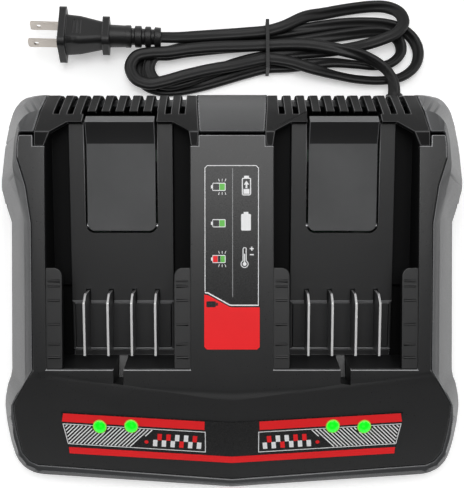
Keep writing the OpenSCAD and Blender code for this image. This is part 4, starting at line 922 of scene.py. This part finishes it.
white.make("print_white", M["ink_white"], "front_print")
grey.make("print_grey", M["ink_grey"], "status_print")
red.make("print_red", M["ink_red"], "front_print")
green.make("print_green", M["ink_green"], "status_print")
black.make("print_black", M["film"], "status_print")
rims.make("print_rims", M["rim"], "front_print")


# ---------------------------------------------------------------- lamps
LENS_PROFILE = [(3.2, -3.9), (3.2, 0.45), (3.2, 0.56), (3.1, 0.8), (2.95, 1.0), (2.75, 1.2),
                (2.45, 1.42), (1.9, 1.68), (1.2, 1.9), (0.4, 1.99)]  # radius, height over the face
LENS_SIDES = 32
LENS_STRETCH = 1.22  # the dome is longer up the slope than across,
DOME_FROM = 0.5  # from this height over the face up
RIM_ROWS = 3  # the profile's first rows are the lens's unlit rim


def lens_piece():
    """The four lamps' lenses: round stems in the housing, with a stretched dome above the face."""
    v, f, fm = [], [], []
    prof, seg = LENS_PROFILE, LENS_SIDES
    for sgn in (-1, 1):
        o, ex, ey, ez = face_frame(sgn)
        for lamp_x, lamp_y in ((-x, y) for x, y in LAMPS):
            b = len(v)
            for r, z in prof:
                for k in range(seg):
                    a = 2 * math.pi * k / seg
                    up = LENS_STRETCH if z > DOME_FROM else 1.0
                    v.append(tuple((o + ex * (sgn * lamp_x + r * math.cos(a))
                                    + ey * (lamp_y + up * r * math.sin(a)) + ez * z) * MM))
            for j in range(len(prof) - 1):
                for k in range(seg):
                    k2 = (k + 1) % seg
                    low, high = b + j * seg, b + (j + 1) * seg
                    f.append((low + k, low + k2, high + k2, high + k))
                    fm.append(0 if j < RIM_ROWS else 1)
            f.append(tuple(b + (len(prof) - 1) * seg + k for k in range(seg)))
            fm.append(1)
            f.append(tuple(b + k for k in range(seg - 1, -1, -1)))
            fm.append(0)
    ob = new_object("lamp_lenses", v, f, [M["rim"], M["lit"]], face_mats=fm,
                    angle=40)
    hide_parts("led_lenses")


lens_piece()


# ---------------------------------------------------------------- floor, backdrop and light
def seen_ray(tree):
    """1 for the rays that show the backdrop: the camera's, and those off gloss or through glass."""
    path = tree.nodes.new("ShaderNodeLightPath")
    either = path.outputs["Is Camera Ray"]
    for kind in ("Is Glossy Ray", "Is Transmission Ray"):
        top = tree.nodes.new("ShaderNodeMath")
        top.operation = "MAXIMUM"
        tree.links.new(either, top.inputs[0])
        tree.links.new(path.outputs[kind], top.inputs[1])
        either = top.outputs["Value"]
    return either


def map_range(tree, value, source, result):
    """The value, brought from the range source to the range result."""
    node = tree.nodes.new("ShaderNodeMapRange")
    for name, number in zip(("From Min", "From Max", "To Min", "To Max"), (*source, *result)):
        node.inputs[name].default_value = number
    tree.links.new(value, node.inputs["Value"])
    return node.outputs["Result"]


def vector_value(tree, operation, vector, other=None):
    """One number out of a vector: its length, or its dot product with other."""
    node = tree.nodes.new("ShaderNodeVectorMath")
    node.operation = operation
    if other is not None:
        node.inputs[1].default_value = other
    tree.links.new(vector, node.inputs[0])
    return node.outputs["Value"]


def seen_mix(tree, unseen, seen, output):
    """The one shader for light that falls on things, the other for rays that show the backdrop."""
    mix = tree.nodes.new("ShaderNodeMixShader")
    tree.links.new(seen_ray(tree), mix.inputs["Fac"])
    tree.links.new(unseen, mix.inputs[1])
    tree.links.new(seen, mix.inputs[2])
    tree.links.new(mix.outputs[0], output.inputs["Surface"])


# The floor is plain matt white for light that falls on it. Where it is seen it glows as well, and
# so runs into the backdrop.
FLOOR_HALF_M, FLOOR_DROP = 3, 0.0002
NEAR_FAR = (0.55, 1.7)  # the glow grows between these distances from the middle, in metres
GLOW = (0.35, 1.0)
floor_white = bpy.data.materials.new("floor_white")
floor_white.use_nodes = True
nt = floor_white.node_tree
pb = nt.nodes["Principled BSDF"]
pb.inputs["Base Color"].default_value = (0.93, 0.93, 0.93, 1)
pb.inputs["Roughness"].default_value = 0.9
pb.inputs["Specular IOR Level"].default_value = 0.1
em = nt.nodes.new("ShaderNodeEmission")
floor_at = nt.nodes.new("ShaderNodeTexCoord").outputs["Object"]
distance = vector_value(nt, "LENGTH", floor_at)
nt.links.new(map_range(nt, distance, NEAR_FAR, GLOW), em.inputs["Strength"])
add = nt.nodes.new("ShaderNodeAddShader")
nt.links.new(pb.outputs[0], add.inputs[0])
nt.links.new(em.outputs[0], add.inputs[1])
seen_mix(nt, pb.outputs[0], add.outputs[0], nt.nodes["Material Output"])
me = bpy.data.meshes.new("floor")
corners = [(-1, -1), (1, -1), (1, 1), (-1, 1)]
me.from_pydata([(x * FLOOR_HALF_M, y * FLOOR_HALF_M, -FLOOR_DROP) for x, y in corners], [],
               [(0, 1, 2, 3)])
me.materials.append(floor_white)
floor = bpy.data.objects.new("floor", me)
scene.collection.objects.link(floor)

# The sky lights the object from above and behind, and fades to the front. The camera, gloss and
# glass see it too, above a horizon that is as white as the floor.
SKY_LEAN = (0.0, 0.8, 0.6)
SKY_SPAN, SKY_STRENGTH = (0.0, 0.9), (0.12, 0.66)
HORIZON_SPAN = (0.05, 0.13)
world = bpy.data.worlds.new("studio")
scene.world = world
world.use_nodes = True
wn = world.node_tree
direction = wn.nodes.new("ShaderNodeTexCoord").outputs["Generated"]
lean = vector_value(wn, "DOT_PRODUCT", direction, SKY_LEAN)
sky = map_range(wn, lean, SKY_SPAN, SKY_STRENGTH)
height = vector_value(wn, "DOT_PRODUCT", direction, (0.0, 0.0, 1.0))
backdrop = wn.nodes.new("ShaderNodeMath")
backdrop.operation = "MAXIMUM"
wn.links.new(map_range(wn, height, HORIZON_SPAN, (1.0, 0.0)), backdrop.inputs[0])
wn.links.new(sky, backdrop.inputs[1])
light_bg = wn.nodes["Background"]
seen_bg = wn.nodes.new("ShaderNodeBackground")
for node, strength in ((light_bg, sky), (seen_bg, backdrop.outputs["Value"])):
    node.inputs["Color"].default_value = (1, 1, 1, 1)
    wn.links.new(strength, node.inputs["Strength"])
seen_mix(wn, light_bg.outputs[0], seen_bg.outputs[0], wn.nodes["World Output"])


def area(name, loc, target, size, power, size_y):
    """A rectangular lamp of size by size_y metres at loc, facing target, with power in watts."""
    d = bpy.data.lights.new(name, "AREA")
    d.shape = "RECTANGLE"
    d.size = size
    d.size_y = size_y
    d.energy = power
    o = bpy.data.objects.new(name, d)
    scene.collection.objects.link(o)
    o.location = loc
    o.rotation_euler = (Vector(target) - Vector(loc)).to_track_quat("-Z", "Y").to_euler()


area("top_softbox", (0.0, 0.20, 1.5), (0, 0.20, 0.0), 0.84, 8.2, 1.0)
area("front_panel", (0.0, -1.3, 0.95), (0, -0.05, 0.04), 0.9, 1.3, 0.6)
area("left_panel", (-1.3, 0.1, 0.55), (0, 0, 0.05), 0.9, 4.2, 0.9)
area("right_panel", (1.3, 0.1, 0.55), (0, 0, 0.05), 0.9, 4.2, 0.9)
